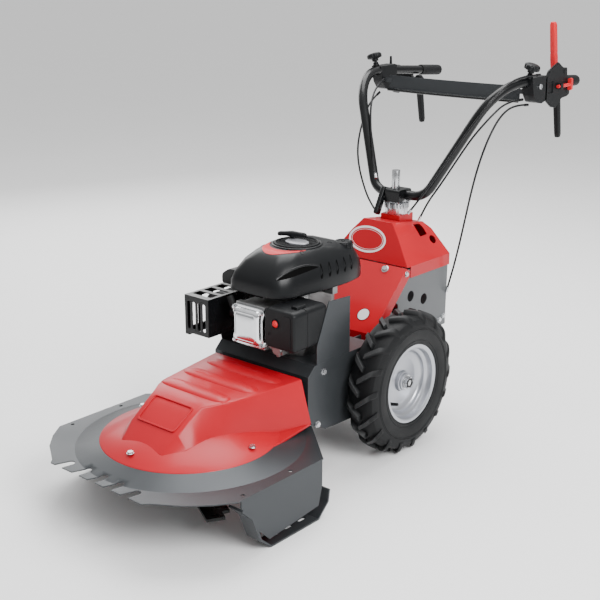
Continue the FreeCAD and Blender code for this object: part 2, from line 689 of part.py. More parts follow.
def fuel_system():
    tank = soften(box(14, 84, -98, -38, 498, 545), 10, "z")
    neck = rod(19, (62, -60, 545), "z", 29)
    hollow = soften(box(17, 81, -95, -41, 501, 542), 8, "z")
    save("fuel_tank", fuse(tank, neck).cut(hollow).cut(rod(15, (62, -60, 538), "z", 40)))
    cap = fuse(ring(27, 20.5, (62, -60, 568), "z", 14), rod(27, (62, -60, 582), "z", 6),
               rod(13, (62, -60, 565), "z", 18))
    ribs = [turned(box(60, 64, -34.5, -31.6, 569, 587), (62, -60, 0), "z", 30 * k)
            for k in range(12)]
    save("fuel_cap", fuse(cap, *ribs))


def intake():
    shell = soften(box(63, 163, -384, -254, 370, 478), 12, "y")
    room = soften(box(66, 160, -380, -258, 374, 474), 9, "y")
    face = shell.cut(room).cut(rod(10.6, (103, -390, 439), "y", 12))
    save("air_filter_box", fuse(face, box(66, 160, -262, -258, 420, 424)))
    bulb = revolve([(0, 0), (0, 10), (5, 9.5), (9, 7), (11, 3), (11.5, 0)], (103, -380, 439), "y")
    bulb = turned(bulb, (103, -380, 439), "z", 180)
    save("primer_bulb", fuse(bulb, rod(10, (103, -380, 439), "y", 4)))
    body = fuse(box(60, 92, -345, -318, 340, 370), rod(14, (76, -352, 354), "y", 60),
                rod(6, (70, -335, 330), "z", 12))
    save("carburettor", body)


def exhaust():
    can = soften(box(-196, -122, -330, -215, 362, 450), 16, "y")
    pipe = rod(12, (-140, -312, 408), "x", 84)
    save("muffler", fuse(can, pipe))
    shell = box(-206, -116, -406, -205, 350, 462).cut(box(-203, -119, -403, -200, 353, 459))
    shell = shell.cut(box(-190, -110, -410, -190, 340, 356))
    for k in range(4):
        x = -196 + 19 * k
        shell = shell.cut(soften(box(x, x + 11, -410, -400, 368, 446), 5, "y"))
        y = -385 + 43 * k
        shell = shell.cut(box(-196, -126, y, y + 28, 455, 470))
        shell = shell.cut(box(-210, -200, y, y + 28, 368, 446))
    save("muffler_guard", shell.cut(rod(14, (-130, -312, 408), "x", 30)))


def spark_plug():
    plug = fuse(rod(6, (-51.8, -357, 437), X_AXIS * -1 + Z_AXIS * 0.3, 18),
                rod(9, (-68, -357, 440), X_AXIS * -0.5 + Z_AXIS, 34))
    save("spark_plug", plug)


# Wheels

def wheel_profile(points):
    return revolve(points, (WHEEL_X, 0, AXLE_Z), "x")


def axle():
    length = 2 * (WHEEL_X + 26)
    save("axle_shaft", rod(AXLE_RADIUS, (-length / 2, 0, AXLE_Z), "x", length))
    rim = wheel_profile([
        (40, 114), (37, 114), (36, 103), (20, 102), (14, 92), (-14, 92), (-20, 102), (-36, 103),
        (-37, 114), (-40, 114), (-40, 110), (-39, 100), (-22, 98), (-17, 88), (-4, 88), (-4, 26),
        (-14, 26), (-14, AXLE_RADIUS), (19, AXLE_RADIUS), (19, 24), (2, 26), (0, 80), (6, 88),
        (17, 88), (22, 98), (39, 100)])
    save("wheel_rims", *both_sides(rim))
    half = TYRE_WIDTH / 2
    carcass = wheel_profile([
        (36, 103.2), (36.6, 114.2), (43, 118), (half, 150), (43, 175), (33, 187), (0, 190),
        (-33, 187), (-43, 175), (-half, 150), (-43, 118), (-36.6, 114.2), (-36, 103.2), (-20, 102.2),
        (-22, 108), (-38, 122), (-41, 150), (-36, 174), (0, 180), (36, 174), (41, 150), (38, 122),
        (22, 108), (20, 102.2)])
    envelope = wheel_profile([(half, 140), (half, 176), (40, 192), (30, 200), (0, WHEEL_RADIUS),
                              (-30, 200), (-40, 192), (-half, 176), (-half, 140)])
    lugs = []
    pitch = 360 / 18
    for k in range(18):
        for side in (-1, 1):
            lug = box(-3, 56, -7, 7, 168, WHEEL_RADIUS + 6)
            lug.rotate(Vector(0, 0, 0), Z_AXIS, -38)
            if side < 0:
                lug = lug.mirror(Vector(0, 0, 0), X_AXIS)
            lug.rotate(Vector(0, 0, 0), X_AXIS, pitch * (k + 0.25 * side))
            lug.translate(Vector(WHEEL_X, 0, AXLE_Z))
            lugs.append(lug)
    tread = Part.makeCompound(lugs).common(envelope).cut(wheel_profile(
        [(-36, 120), (-39, 150), (-34, 172), (0, 180), (34, 172), (39, 150), (36, 120)]))
    tyre = carcass.fuse([s for s in tread.Solids if s.Volume > 5])
    save("tyres", *both_sides(tyre.removeSplitter()))
    nut = fuse(rod(20, (WHEEL_X + 19, 0, AXLE_Z), "x", 3), hexagon(30, (WHEEL_X + 21, 0, AXLE_Z), "x", 10))
    nut = nut.cut(rod(AXLE_RADIUS, (WHEEL_X + 19, 0, AXLE_Z), "x", 7))
    save("hub_nuts", *both_sides(nut))


# Steering and handlebar

def steering_head():
    disc = rod(34, (0, YAW_Y, HEAD_Z), "z", 30)
    teeth = [turned(box(-2, 2, YAW_Y + 30, YAW_Y + 37, HEAD_Z + 18, HEAD_Z + 34), (0, YAW_Y, 0), "z", 15 * k)
             for k in range(24)]
    saddle = soften(box(-26, 26, 246, 308, HEAD_Z + 30, BAR_Z + 18), 8, "x")
    pin = rod(8, (0, YAW_Y, 560), "z", 45)
    head = fuse(disc, *teeth, saddle, pin)
    lever_pin = rod(6, (-44, *CLAMP_PIVOT), "x", 20)
    head = fuse(head, lever_pin)
    head = head.cut(rod(BAR_RADIUS + RUNNING_GAP, (-60, BAR_Y, BAR_Z), "x", 120))
    save("steering_head", head)
    save("clamp_rod", rod(12, (0, 265, BAR_Z + 18), "z", 56))


def clamp_lever():
    """Cam lever that locks the bars; it hangs down the front of the head."""
    bar = box(-42, -29, -11, 11, -78, 8)
    bar = soften(bar, 5, "x").cut(rod(6 + RUNNING_GAP, (-50, 0, 0), "x", 40))
    bar = turned(bar, (0, 0, 0), "x", -28)
    bar.translate(Vector(0, *CLAMP_PIVOT))
    save("clamp_lever", bar)


BAR_ROUTE = [(0, BAR_Y, BAR_Z), (88, BAR_Y, BAR_Z), (248, 400, 980), (272, 560, 980),
             (255, 846, 960)]


def handlebar():
    half = tube(BAR_ROUTE, (60, 160, 140), BAR_RADIUS)
    bar = fuse(half, mirrored(half))
    save("handlebar_tube", bar)
    start = Vector(*BAR_ROUTE[-2])
    heading = (Vector(*BAR_ROUTE[-1]) - start).normalize()
    base = Vector(*BAR_ROUTE[-1]) - heading * 98
    grip = Part.makeCylinder(GRIP_RADIUS, 102, base, heading).cut(
        Part.makeCylinder(BAR_RADIUS, 98, base, heading))
    save("grips", *both_sides(grip))
    plate = prism([(-232, 541), (-120, 530), (120, 530), (232, 541), (232, 544), (120, 533),
                   (-120, 533), (-232, 544)], "z", 925, 967)
    shelf = prism([(-232, 529), (-120, 512), (120, 512), (232, 529), (232, 543), (120, 532),
                   (-120, 532), (-232, 543)], "z", 922, 925)
    lugs = both_sides(box(226, 252.5, 540, 544, 944, 958))
    save("cross_plate", fuse(plate, shelf, *lugs).cut(bar))
    return bar


def bracket_plate(upper):
    """Outer cheek that carries the lever pivots below the given upper outline."""
    lower = [(746, 958), (748, 930), (734, 924), (700, 921), (667, 895), (639, 900), (599, 925)]
    return prism(upper + lower, "x", CHEEK_X, CHEEK_X + 5)


def lever_pin(pivot):
    return rod(4, (LEVER_X - 12, *pivot), "x", CHEEK_X + 5 - LEVER_X + 12)


def lever_brackets(bar):
    block = soften(prism([(518, 994), (606, 996), (609, 925), (580, 916), (548, 922), (530, 945)],
                         "x", 253, CHEEK_X + 5), 6, "x")
    post_axis = Vector(0.30, 0, 0.95).normalize()
    knob_base = Vector(275, 524, 998)
    knob_post = rod(5, knob_base - post_axis * 8, post_axis, 34)
    lock_bore = rod(5 + RUNNING_GAP, (CHEEK_X + 11.4, 600, 959), "y", 100)
    ledge = box(CHEEK_X + 5, CHEEK_X + 18, 668, 684, 951, 967).cut(lock_bore)
    tall = bracket_plate([(598, 986), (612, 1008), (668, 1030), (700, 1012), (724, 1010), (730, 974)])
    left = fuse(block, tall, knob_post, lever_pin(CLUTCH_PIVOT), lever_pin(RED_PIVOT), ledge)
    save("lever_bracket_left", left.cut(bar))
    throttle_box = rod(17, (CHEEK_X + 5, 640, 975), "x", 10)
    low = bracket_plate([(599, 986), (662, 988), (724, 970)])
    right = fuse(block, low, knob_post, lever_pin(CLUTCH_PIVOT), throttle_box)
    save("lever_bracket_right", mirrored(right.cut(bar)))
    knob = fuse(Part.makeCylinder(23.5, 15, Vector(0, 0, 20), Z_AXIS),
                Part.makeCylinder(10, 10, Vector(0, 0, 11), Z_AXIS))
    grooves = [Part.makeCylinder(3, 20, Vector(25 * math.cos(a), 25 * math.sin(a), 18), Z_AXIS)
               for a in (math.radians(22.5 * k) for k in range(16))]
    knob = knob.cut(Part.makeCompound(grooves)).cut(rod(5 + RUNNING_GAP, (0, 0, 5), "z", 22))
    knob.rotate(Vector(0, 0, 0), Y_AXIS, math.degrees(math.atan2(0.30, 0.95)))
    knob.translate(knob_base)
    save("knob_left", knob)
    save("knob_right", mirrored(knob))


def pin_bore(pivot):
    return rod(4 + RUNNING_GAP, (LEVER_X - 30, *pivot), "x", 60)


def hanging_lever():
    """A tapered lever with a round end and its hub on the pivot pin."""
    y, z = CLUTCH_PIVOT
    hub = rod(11, (LEVER_X - 9, y, z), "x", 18)
    blade = prism([(y - 11, z - 2), (y + 11, z - 2), (y + 34, z - 142), (y + 30, z - 148),
                   (y + 18, z - 148)], "x", LEVER_X - 9, LEVER_X + 9)
    return fuse(hub, blade).cut(pin_bore(CLUTCH_PIVOT))


def levers():
    clutch = hanging_lever()
    save("clutch_lever", clutch)
    save("drive_lever", mirrored(clutch))
    y, z = RED_PIVOT
    hub = rod(11, (LEVER_X - 9, y, z), "x", 18)
    paddle = prism([(y - 13, z + 4), (y + 10, z + 1), (y - 16, z + 146), (y - 34, z + 146)], "x",
                   LEVER_X - 9, LEVER_X + 9)
    save("red_lever", fuse(hub, paddle).cut(pin_bore(RED_PIVOT)))
    head = soften(box(CHEEK_X + 5.6, CHEEK_X + 18, 732, 742, 942, 978), 5, "y")
    save("lock_button", fuse(rod(5, (CHEEK_X + 11.4, 660, 959), "y", 74), head))
    throttle_x = -CHEEK_X - 15 - MOVING_GAP
    hub = rod(14, (throttle_x - 5, 640, 975), "x", 5)
    arm = prism([(634, 975), (646, 975), (642, 1016), (636, 1016)], "x", throttle_x - 4, throttle_x)
    save("throttle_lever", fuse(hub, arm))


FAR_LOOP = [(-262, 528, 912), (-262, 478, 890), (-258, 432, 826), (-238, 384, 760),
            (-204, 348, 706), (-160, 319, 651), (-118, 296, 611), (-78, 280, 586)]
FAR_LEG = [(-236, 512, 955), (-216, 446, 940), (-188, 384, 898), (-158, 344, 838),
           (-124, 312, 768), (-98, 286, 727), (-70, 262, 696)]
NEAR_OVER = [(292, 556, 1001), (285, 500, 1003), (262, 440, 990), (238, 371, 929), (203, 335, 863),
             (160, 300, 778), (118, 274, 700), (86, 258, 650), (60, 246, 610)]
NEAR_UNDER = [(256, 528, 930), (243, 462, 930), (224, 408, 890), (191, 372, 834), (165, 351, 782),
              (119, 317, 688), (88, 298, 634), (68, 290, 582)]
NEAR_LONG = [(266, 542, 914), (260, 476, 920), (252, 416, 896), (246, 366, 838), (232, 342, 762),
             (214, 338, 680), (194, 342, 590), (172, 348, 500), (154, 348, 424), (141, 341, 366)]


def control_cables():
    save("cables_far", cable(FAR_LOOP), cable(FAR_LEG))
    save("cables_near", cable(NEAR_OVER), cable(NEAR_UNDER), cable(NEAR_LONG))


def main():
    os.makedirs("parts", exist_ok=True)
    for make in (deck_shell, deck_cover, skids, spindle_housing, ball_bearings, drive_belts,
                 blade_rotor, belt_tensioner, engine_frame, engine_guard, gearbox_housing,
                 worm_drive, rear_housing, lower_panel, top_cover, steering_bracket, hex_bolts,
                 engine_block, valve_cover, crank_group, blower_housing, recoil_cover, starter,
                 fuel_system, intake, exhaust, spark_plug, axle, steering_head, clamp_lever):
        make()
    bar = handlebar()
    lever_brackets(bar)
    levers()
    control_cables()


main()
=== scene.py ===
import bpy
import bmesh
import math
from mathutils import Matrix, Vector


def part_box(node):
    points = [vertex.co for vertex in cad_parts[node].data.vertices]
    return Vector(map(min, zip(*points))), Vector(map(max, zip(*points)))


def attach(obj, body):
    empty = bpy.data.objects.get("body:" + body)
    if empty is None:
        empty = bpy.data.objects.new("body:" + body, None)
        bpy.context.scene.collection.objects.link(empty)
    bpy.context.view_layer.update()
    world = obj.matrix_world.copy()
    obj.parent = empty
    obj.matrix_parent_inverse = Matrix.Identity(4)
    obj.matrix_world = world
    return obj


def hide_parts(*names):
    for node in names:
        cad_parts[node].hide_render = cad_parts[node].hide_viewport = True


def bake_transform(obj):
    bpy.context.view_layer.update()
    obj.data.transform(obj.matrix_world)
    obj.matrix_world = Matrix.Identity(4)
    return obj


# A walk-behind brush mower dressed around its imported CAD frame. Places are in millimetres, with
# x and z from the row frame and y counted from the wheel axle, as in the CAD source; at() turns
# them into metres in the row frame.

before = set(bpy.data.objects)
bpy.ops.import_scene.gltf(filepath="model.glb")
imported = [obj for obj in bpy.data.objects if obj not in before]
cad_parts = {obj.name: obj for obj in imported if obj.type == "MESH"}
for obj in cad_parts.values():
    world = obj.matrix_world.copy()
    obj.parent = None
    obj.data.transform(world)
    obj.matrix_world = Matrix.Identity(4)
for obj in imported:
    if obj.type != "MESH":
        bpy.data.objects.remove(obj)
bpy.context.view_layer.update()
AXLE_Y = sum(corner.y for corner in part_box("axle_shaft")) / 2
AXLE_Z = 203
WHEEL_X = 224


def at(x, y, z):
    return Vector((x / 1000, y / 1000 + AXLE_Y, z / 1000))


# Materials: each is one node tree with colour mottling, roughness patches and a fine bump

def shader(name, colour, rough, metal=0.0, coat=0.0, mottle=0.15, patch=9, grain=600, relief=0.1,
           depth=0.0004, second=None, spread=0.12, specular=0.3):
    """A procedural surface. second is the colour its patches drift towards."""
    material = bpy.data.materials.new(name)
    material.use_nodes = True
    nodes, links = material.node_tree.nodes, material.node_tree.links
    body = nodes["Principled BSDF"]
    body.inputs["Metallic"].default_value = metal
    body.inputs["Coat Weight"].default_value = coat
    body.inputs["Specular IOR Level"].default_value = specular
    body.inputs["Coat Roughness"].default_value = 0.12
    place = nodes.new("ShaderNodeTexCoord")
    cloud = nodes.new("ShaderNodeTexNoise")
    cloud.inputs["Scale"].default_value = patch
    cloud.inputs["Detail"].default_value = 6
    links.new(place.outputs["Object"], cloud.inputs["Vector"])
    tint = nodes.new("ShaderNodeMix")
    tint.data_type = "RGBA"
    low = [c * (1 - mottle) for c in colour]
    high = list(second) if second else [min(1, c * (1 + mottle)) for c in colour]
    tint.inputs["A"].default_value = (*low, 1)
    tint.inputs["B"].default_value = (*high, 1)
    links.new(cloud.outputs["Fac"], tint.inputs["Factor"])
    links.new(tint.outputs["Result"], body.inputs["Base Color"])
    fine = nodes.new("ShaderNodeTexNoise")
    fine.inputs["Scale"].default_value = grain
    fine.inputs["Detail"].default_value = 3
    links.new(place.outputs["Object"], fine.inputs["Vector"])
    wear = nodes.new("ShaderNodeMapRange")
    wear.inputs["To Min"].default_value = max(0.03, rough - spread)
    wear.inputs["To Max"].default_value = min(1, rough + spread)
    links.new(cloud.outputs["Fac"], wear.inputs["Value"])
    links.new(wear.outputs["Result"], body.inputs["Roughness"])
    bump = nodes.new("ShaderNodeBump")
    bump.inputs["Strength"].default_value = relief
    bump.inputs["Distance"].default_value = depth
    links.new(fine.outputs["Fac"], bump.inputs["Height"])
    links.new(bump.outputs["Normal"], body.inputs["Normal"])
    return material


def worn_with_radius(material, start, end, colour):
    """Adds a lighter worn colour where the surface lies far from the wheel axle."""
    nodes, links = material.node_tree.nodes, material.node_tree.links
    place = nodes.new("ShaderNodeTexCoord")
    from_axle = nodes.new("ShaderNodeVectorMath")
    from_axle.operation = "SUBTRACT"
    from_axle.inputs[1].default_value = at(0, 0, AXLE_Z)
    flat = nodes.new("ShaderNodeVectorMath")
    flat.operation = "MULTIPLY"
    flat.inputs[1].default_value = (0, 1, 1)
    reach = nodes.new("ShaderNodeVectorMath")
    reach.operation = "LENGTH"
    fade = nodes.new("ShaderNodeMapRange")
    fade.inputs["From Min"].default_value = start
    fade.inputs["From Max"].default_value = end
    mix = nodes.new("ShaderNodeMix")
    mix.data_type = "RGBA"
    mix.inputs["B"].default_value = (*colour, 1)
    body = nodes["Principled BSDF"]
    base = body.inputs["Base Color"].links[0].from_socket
    links.new(place.outputs["Object"], from_axle.inputs[0])
    links.new(from_axle.outputs[0], flat.inputs[0])
    links.new(flat.outputs[0], reach.inputs[0])
    links.new(reach.outputs["Value"], fade.inputs["Value"])
    links.new(fade.outputs["Result"], mix.inputs["Factor"])
    links.new(base, mix.inputs["A"])
    links.new(mix.outputs["Result"], body.inputs["Base Color"])


RED = shader("red_paint", (0.40, 0.003, 0.010), 0.32, coat=0.12, mottle=0.10, patch=6, grain=900,
             relief=0.05, specular=0.25)
RED_COVER = shader("red_cover", (0.42, 0.003, 0.012), 0.36, coat=0.08, mottle=0.12, patch=7,
                   grain=700, relief=0.07, specular=0.25)
DARK_PAINT = shader("dark_paint", (0.042, 0.046, 0.050), 0.36, metal=0.5, mottle=0.16, grain=1100,
                    relief=0.22)
SLATE = shader("slate_paint", (0.035, 0.038, 0.041), 0.40, metal=0.2, mottle=0.14, grain=900,
               relief=0.15, specular=0.25)
GREY_PAINT = shader("grey_paint", (0.115, 0.12, 0.125), 0.46, metal=0.25, mottle=0.10, grain=900,
                    relief=0.15)
BLACK_PAINT = shader("black_paint", (0.004, 0.0044, 0.005), 0.28, coat=0.12, mottle=0.3, patch=12,
                     grain=500, relief=0.06, specular=0.22)
PLASTIC = shader("black_plastic", (0.0058, 0.0064, 0.0072), 0.42, mottle=0.22, patch=14, grain=1500,
                 relief=0.30, specular=0.17)
GLOSS_PLASTIC = shader("cowl_plastic", (0.0050, 0.0056, 0.0064), 0.31, mottle=0.2, patch=10,
                       grain=900, relief=0.06, specular=0.24)
# Near-black sheet that paints the shade inside the cowl vents and under the scoop lip
PAINTED_SHADE = shader("painted_vent_shade", (0.001, 0.001, 0.001), 0.8, grain=300, relief=0.2, specular=0.05)
RED_PLASTIC = shader("red_plastic", (0.56, 0.012, 0.018), 0.38, mottle=0.10, patch=20, grain=1200,
                     relief=0.12)
RUBBER = shader("rubber", (0.007, 0.0075, 0.008), 0.62, mottle=0.3, patch=25, grain=1800,
                relief=0.45, specular=0.2)
CABLE = shader("cable_sleeve", (0.005, 0.005, 0.006), 0.36, mottle=0.25, patch=30, grain=1500,
               relief=0.12, specular=0.25)
TYRE = shader("tyre", (0.0050, 0.0054, 0.0060), 0.55, mottle=0.35, patch=18, grain=700, relief=0.5,
              spread=0.16, specular=0.2)
worn_with_radius(TYRE, 0.192, 0.203, (0.030, 0.031, 0.032))
SILVER = shader("silver_paint", (0.42, 0.43, 0.46), 0.34, metal=0.85, mottle=0.06, grain=1400,
                relief=0.12)
STEEL = shader("steel", (0.36, 0.36, 0.36), 0.34, metal=1.0, mottle=0.18, patch=40, grain=500,
               relief=0.25)
ZINC = shader("zinc", (0.50, 0.51, 0.52), 0.26, metal=1.0, mottle=0.30, patch=60, grain=300,
              relief=0.2, second=(0.74, 0.75, 0.77))
CHROME = shader("bright_cast", (0.72, 0.73, 0.75), 0.14, metal=1.0, mottle=0.12, patch=45,
                grain=260, relief=0.25, spread=0.08)
CAST_ALU = shader("cast_aluminium", (0.30, 0.30, 0.30), 0.40, metal=0.9, mottle=0.2, patch=30,
                  grain=900, relief=0.5)
CAST_IRON = shader("cast_iron", (0.035, 0.035, 0.037), 0.6, metal=0.5, mottle=0.3, patch=25,
                   grain=500, relief=0.7)
BRONZE = shader("bronze", (0.50, 0.29, 0.09), 0.35, metal=1.0, mottle=0.15, patch=40, grain=600,
                relief=0.2)
BELT = shader("belt", (0.010, 0.010, 0.010), 0.7, mottle=0.3, patch=50, grain=1500, relief=0.5)
LABEL = shader("plain_label", (0.66, 0.65, 0.64), 0.45, mottle=0.05, patch=30, grain=900,
               relief=0.05)
RIM_WHITE = shader("printed_white", (0.72, 0.70, 0.70), 0.4, mottle=0.04, patch=30, grain=900,
                   relief=0.04)


# Mesh helpers

def smooth_by_angle(mesh, degrees):
    bm = bmesh.new()
    bm.from_mesh(mesh)
    bmesh.ops.remove_doubles(bm, verts=bm.verts, dist=1e-6)
    bmesh.ops.recalc_face_normals(bm, faces=bm.faces)
    limit = math.radians(degrees)
    for face in bm.faces:
        face.smooth = True
    for edge in bm.edges:
        edge.smooth = len(edge.link_faces) == 2 and edge.calc_face_angle(0) < limit
    bm.to_mesh(mesh)
    bm.free()


def piece(name, parts, material, body, replaces=(), bevel=0.0, angle=35, thick=0.0):
    """One object from (points, faces) parts, riding on a CAD body."""
    points, faces = [], []
    for part_points, part_faces in parts:
        start = len(points)
        points += part_points
        faces += [[start + k for k in face] for face in part_faces]
    mesh = bpy.data.meshes.new(name)
    mesh.from_pydata(points, [], faces)
    smooth_by_angle(mesh, angle)
    obj = bpy.data.objects.new(name, mesh)
    bpy.context.scene.collection.objects.link(obj)
    mesh.materials.append(material)
    if thick:
        shell = obj.modifiers.new("thickness", "SOLIDIFY")
        shell.thickness = thick / 1000
        shell.offset = -1
    if bevel:
        add_bevel(obj, bevel)
    if body:
        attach(obj, body)
    if replaces:
        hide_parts(*replaces)
    return obj


def add_bevel(obj, width, degrees=34, segments=3):
    edge = obj.modifiers.new("edges", "BEVEL")
    edge.width = width / 1000
    edge.segments = segments
    edge.limit_method = "ANGLE"
    edge.angle_limit = math.radians(degrees)
    edge.harden_normals = True


def baked(obj):
    """The object with its modifiers turned into mesh."""
    graph = bpy.context.evaluated_depsgraph_get()
    mesh = bpy.data.meshes.new_from_object(obj.evaluated_get(graph), depsgraph=graph)
    obj.modifiers.clear()
    obj.data = mesh
    return obj


def carve(obj, cutters):
    """Cuts (points, faces) solids out of the object."""
    for k, (points, faces) in enumerate(cutters):
        mesh = bpy.data.meshes.new(f"cutter_{k}")
        mesh.from_pydata(points, [], faces)
        smooth_by_angle(mesh, 35)
        tool = bpy.data.objects.new(f"cutter_{k}", mesh)
        bpy.context.scene.collection.objects.link(tool)
        cut = obj.modifiers.new("cut", "BOOLEAN")
        cut.operation = "DIFFERENCE"
        cut.solver = "EXACT"
        cut.object = tool
        bpy.context.view_layer.update()
        baked(obj)
        bpy.data.objects.remove(tool)
    smooth_by_angle(obj.data, 35)
    return obj


def flip_x(part):
    points, faces = part
    return [Vector((-p.x, p.y, p.z)) for p in points], [list(reversed(f)) for f in faces]


def both(*parts):
    return [*parts, *(flip_x(part) for part in parts)]


def moved(part, matrix):
    points, faces = part
    return [matrix @ p for p in points], faces


def lathe(profile, centre, axis, steps=72):
    """Turns (along, radius) points in millimetres about an axis through centre."""
    axis = Vector(axis).normalized()
    side = axis.orthogonal().normalized()
    other = axis.cross(side)
    origin = at(*centre)
    points = []
    for along, radius in profile:
        for k in range(steps):
            turn = 2 * math.pi * k / steps
            out = side * math.cos(turn) + other * math.sin(turn)
            points.append(origin + axis * along / 1000 + out * radius / 1000)
    faces = []
    for ring in range(len(profile) - 1):
        for k in range(steps):
            n = (k + 1) % steps
            faces.append([ring * steps + k, ring * steps + n, (ring + 1) * steps + n,
                          (ring + 1) * steps + k])
    return points, faces


def loft(rings, caps=True, closed=True):
    """Joins rings of the same number of points."""
    count = len(rings[0])
    points = [p for ring in rings for p in ring]
    faces = []
    for r in range(len(rings) - 1):
        for k in range(count if closed else count - 1):
            n = (k + 1) % count
            faces.append([r * count + k, r * count + n, (r + 1) * count + n, (r + 1) * count + k])
    if caps:
        faces.append(list(reversed(range(count))))
        faces.append([(len(rings) - 1) * count + k for k in range(count)])
    return points, faces


def slab(outline, axis, low, high):
    """A prism from an outline in the plane across the axis: (y, z), (x, z) or (x, y)."""
    def corner(a, b, level):
        if axis == "x":
            return at(level, a, b)
        if axis == "y":
            return at(a, level, b)
        return at(a, b, level)
    return loft([[corner(a, b, level) for a, b in outline] for level in (low, high)])


def block(x0, x1, y0, y1, z0, z1):
    return slab([(x0, y0), (x1, y0), (x1, y1), (x0, y1)], "z", z0, z1)


def rounded(outline, radius, steps=4):
    """The outline with every corner rounded."""
    made = []
    count = len(outline)
    for k in range(count):
        before, corner, after = (Vector(outline[k - 1]), Vector(outline[k]),
                                 Vector(outline[(k + 1) % count]))
        back, onward = before - corner, after - corner
        reach = min(radius, back.length * 0.45, onward.length * 0.45)
        first = corner + back.normalized() * reach
        last = corner + onward.normalized() * reach
        for s in range(steps + 1):
            t = s / steps
            p = first * (1 - t) ** 2 + corner * 2 * t * (1 - t) + last * t ** 2
            made.append((p.x, p.y))
    return made


def oval(half_a, half_b, steps=48, start=0.0, end=2 * math.pi, closed=True):
    count = steps if closed else steps + 1
    return [(half_a * math.cos(start + (end - start) * k / steps),
             half_b * math.sin(start + (end - start) * k / steps)) for k in range(count)]


def on_plane(outline, centre, right, up, height=0.0):
    """Points of a flat figure in a plane given by its centre and two directions."""
    right, up = Vector(right).normalized(), Vector(up).normalized()
    normal = right.cross(up).normalized()
    origin = at(*centre) + normal * height / 1000
    return [origin + (right * a + up * b) / 1000 for a, b in outline]


def flat_ring(outer, inner, centre, right, up, rise=0.6):
    """A printed ring that stands a hair above a face."""
    rings = [on_plane(outer, centre, right, up, 0), on_plane(outer, centre, right, up, rise),
             on_plane(inner, centre, right, up, rise), on_plane(inner, centre, right, up, 0)]
    return loft(rings, caps=False)


def flat_patch(outline, centre, right, up, rise=0.6, base=-0.5):
    return loft([on_plane(outline, centre, right, up, base),
                 on_plane(outline, centre, right, up, rise)])


def spline_points(route, resolution=10):
    """Points along the NURBS line whose control points are the route."""
    curve = bpy.data.curves.new("route", "CURVE")
    curve.dimensions = "3D"
    line = curve.splines.new("NURBS")
    line.points.add(len(route) - 1)
    for point, place in zip(line.points, route):
        point.co = (*at(*place), 1)
    line.order_u = 3
    line.use_endpoint_u = True
    line.resolution_u = resolution
    holder = bpy.data.objects.new("route", curve)
    bpy.context.scene.collection.objects.link(holder)
    mesh = bpy.data.meshes.new_from_object(holder)
    points = [v.co.copy() for v in mesh.vertices]
    bpy.data.objects.remove(holder)
    return points


def hose(points, radius, steps=12):
    """A tube along points, with one untwisted frame carried from ring to ring."""
    rings = []
    side = None
    for k, point in enumerate(points):
        ahead = points[min(k + 1, len(points) - 1)]
        behind = points[max(k - 1, 0)]
        heading = (ahead - behind).normalized()
        side = heading.orthogonal() if side is None else side - heading * side.dot(heading)
        side.normalize()
        other = heading.cross(side)
        size = radius[k] if isinstance(radius, list) else radius
        rings.append([point + (side * math.cos(a) + other * math.sin(a)) * size / 1000
                      for a in (2 * math.pi * s / steps for s in range(steps))])
    return loft(rings)


# CAD nodes that stay: material, edge bevel in millimetres

KEPT = {
    "deck_shell": (DARK_PAINT, 0.8), "skids": (DARK_PAINT, 0.8), "spindle_housing": (CAST_IRON, 1),
    "ball_bearings": (STEEL, 0.5), "hex_bolts": (ZINC, 0.5), "drive_belts": (BELT, 0.8),
    "engine_frame": (DARK_PAINT, 0.8), "engine_guard": (DARK_PAINT, 0.8),
    "gearbox_housing": (CAST_IRON, 1.5), "rear_housing": (GREY_PAINT, 0.8),
    "lower_panel": (RED, 0.8), "steering_bracket": (RED, 0.8), "engine_block": (CAST_ALU, 1),
    "fuel_tank": (PLASTIC, 1), "carburettor": (CAST_ALU, 0.8), "muffler": (CAST_IRON, 1),
    "muffler_guard": (BLACK_PAINT, 0.8), "spark_plug": (RUBBER, 0.8), "spindle_shaft": (STEEL, 0.5),
    "spindle_pulley": (STEEL, 0.5), "cutter_blade": (BLACK_PAINT, 0.6), "blade_bolt": (STEEL, 0.6),
    "crankshaft": (STEEL, 0.5), "engine_pulley": (STEEL, 0.5), "flywheel": (CAST_ALU, 0.8),
    "belt_tensioner": (STEEL, 0.6), "worm_shaft": (STEEL, 0.5), "input_pulley": (STEEL, 0.5),
    "axle_shaft": (STEEL, 0.8), "hub_nuts": (ZINC, 0.8), "worm_wheel": (BRONZE, 0.3),
    "starter_reel": (PLASTIC, 0.6), "primer_bulb": (RED_PLASTIC, 0.6),
    "steering_head": (ZINC, 0.6), "clamp_rod": (ZINC, 0.8), "handlebar_tube": (BLACK_PAINT, 0),
    "lock_button": (RED_PLASTIC, 1), "throttle_lever": (PLASTIC, 0.8),
}
for node, (material, width) in KEPT.items():
    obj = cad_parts[node]
    obj.data.materials.clear()
    obj.data.materials.append(material)
    joined = obj.modifiers.new("joined", "WELD")
    joined.merge_threshold = 0.00002
    if width:
        add_bevel(obj, width, segments=2)
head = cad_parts["steering_head"].data
head.materials.append(BLACK_PAINT)
for face in head.polygons:
    if face.center.z > 0.6365:
        face.material_index = 1


# Red deck cover: a low dome with the raised nose over the blade belt

COVER_CENTRE = (0, -593, 0)
DOME = [(170, 225), (170, 228), (176.5, 228), (178.6, 225.5), (200, 169), (222, 112), (240, 60),
        (240, 40)]
NOSE = [
    (-757, 78, 190, 72, 198),
    (-709, 108, 206, 81, 238),
    (-668, 115, 211, 83, 266),
    (-634, 121, 215, 86, 286),
    (-600, 131, 212, 106, 289),
    (-560, 141, 209, 122, 289),
    (-465, 160, 194, 139, 289),
    (-345, 188, 181, 157, 291),
]


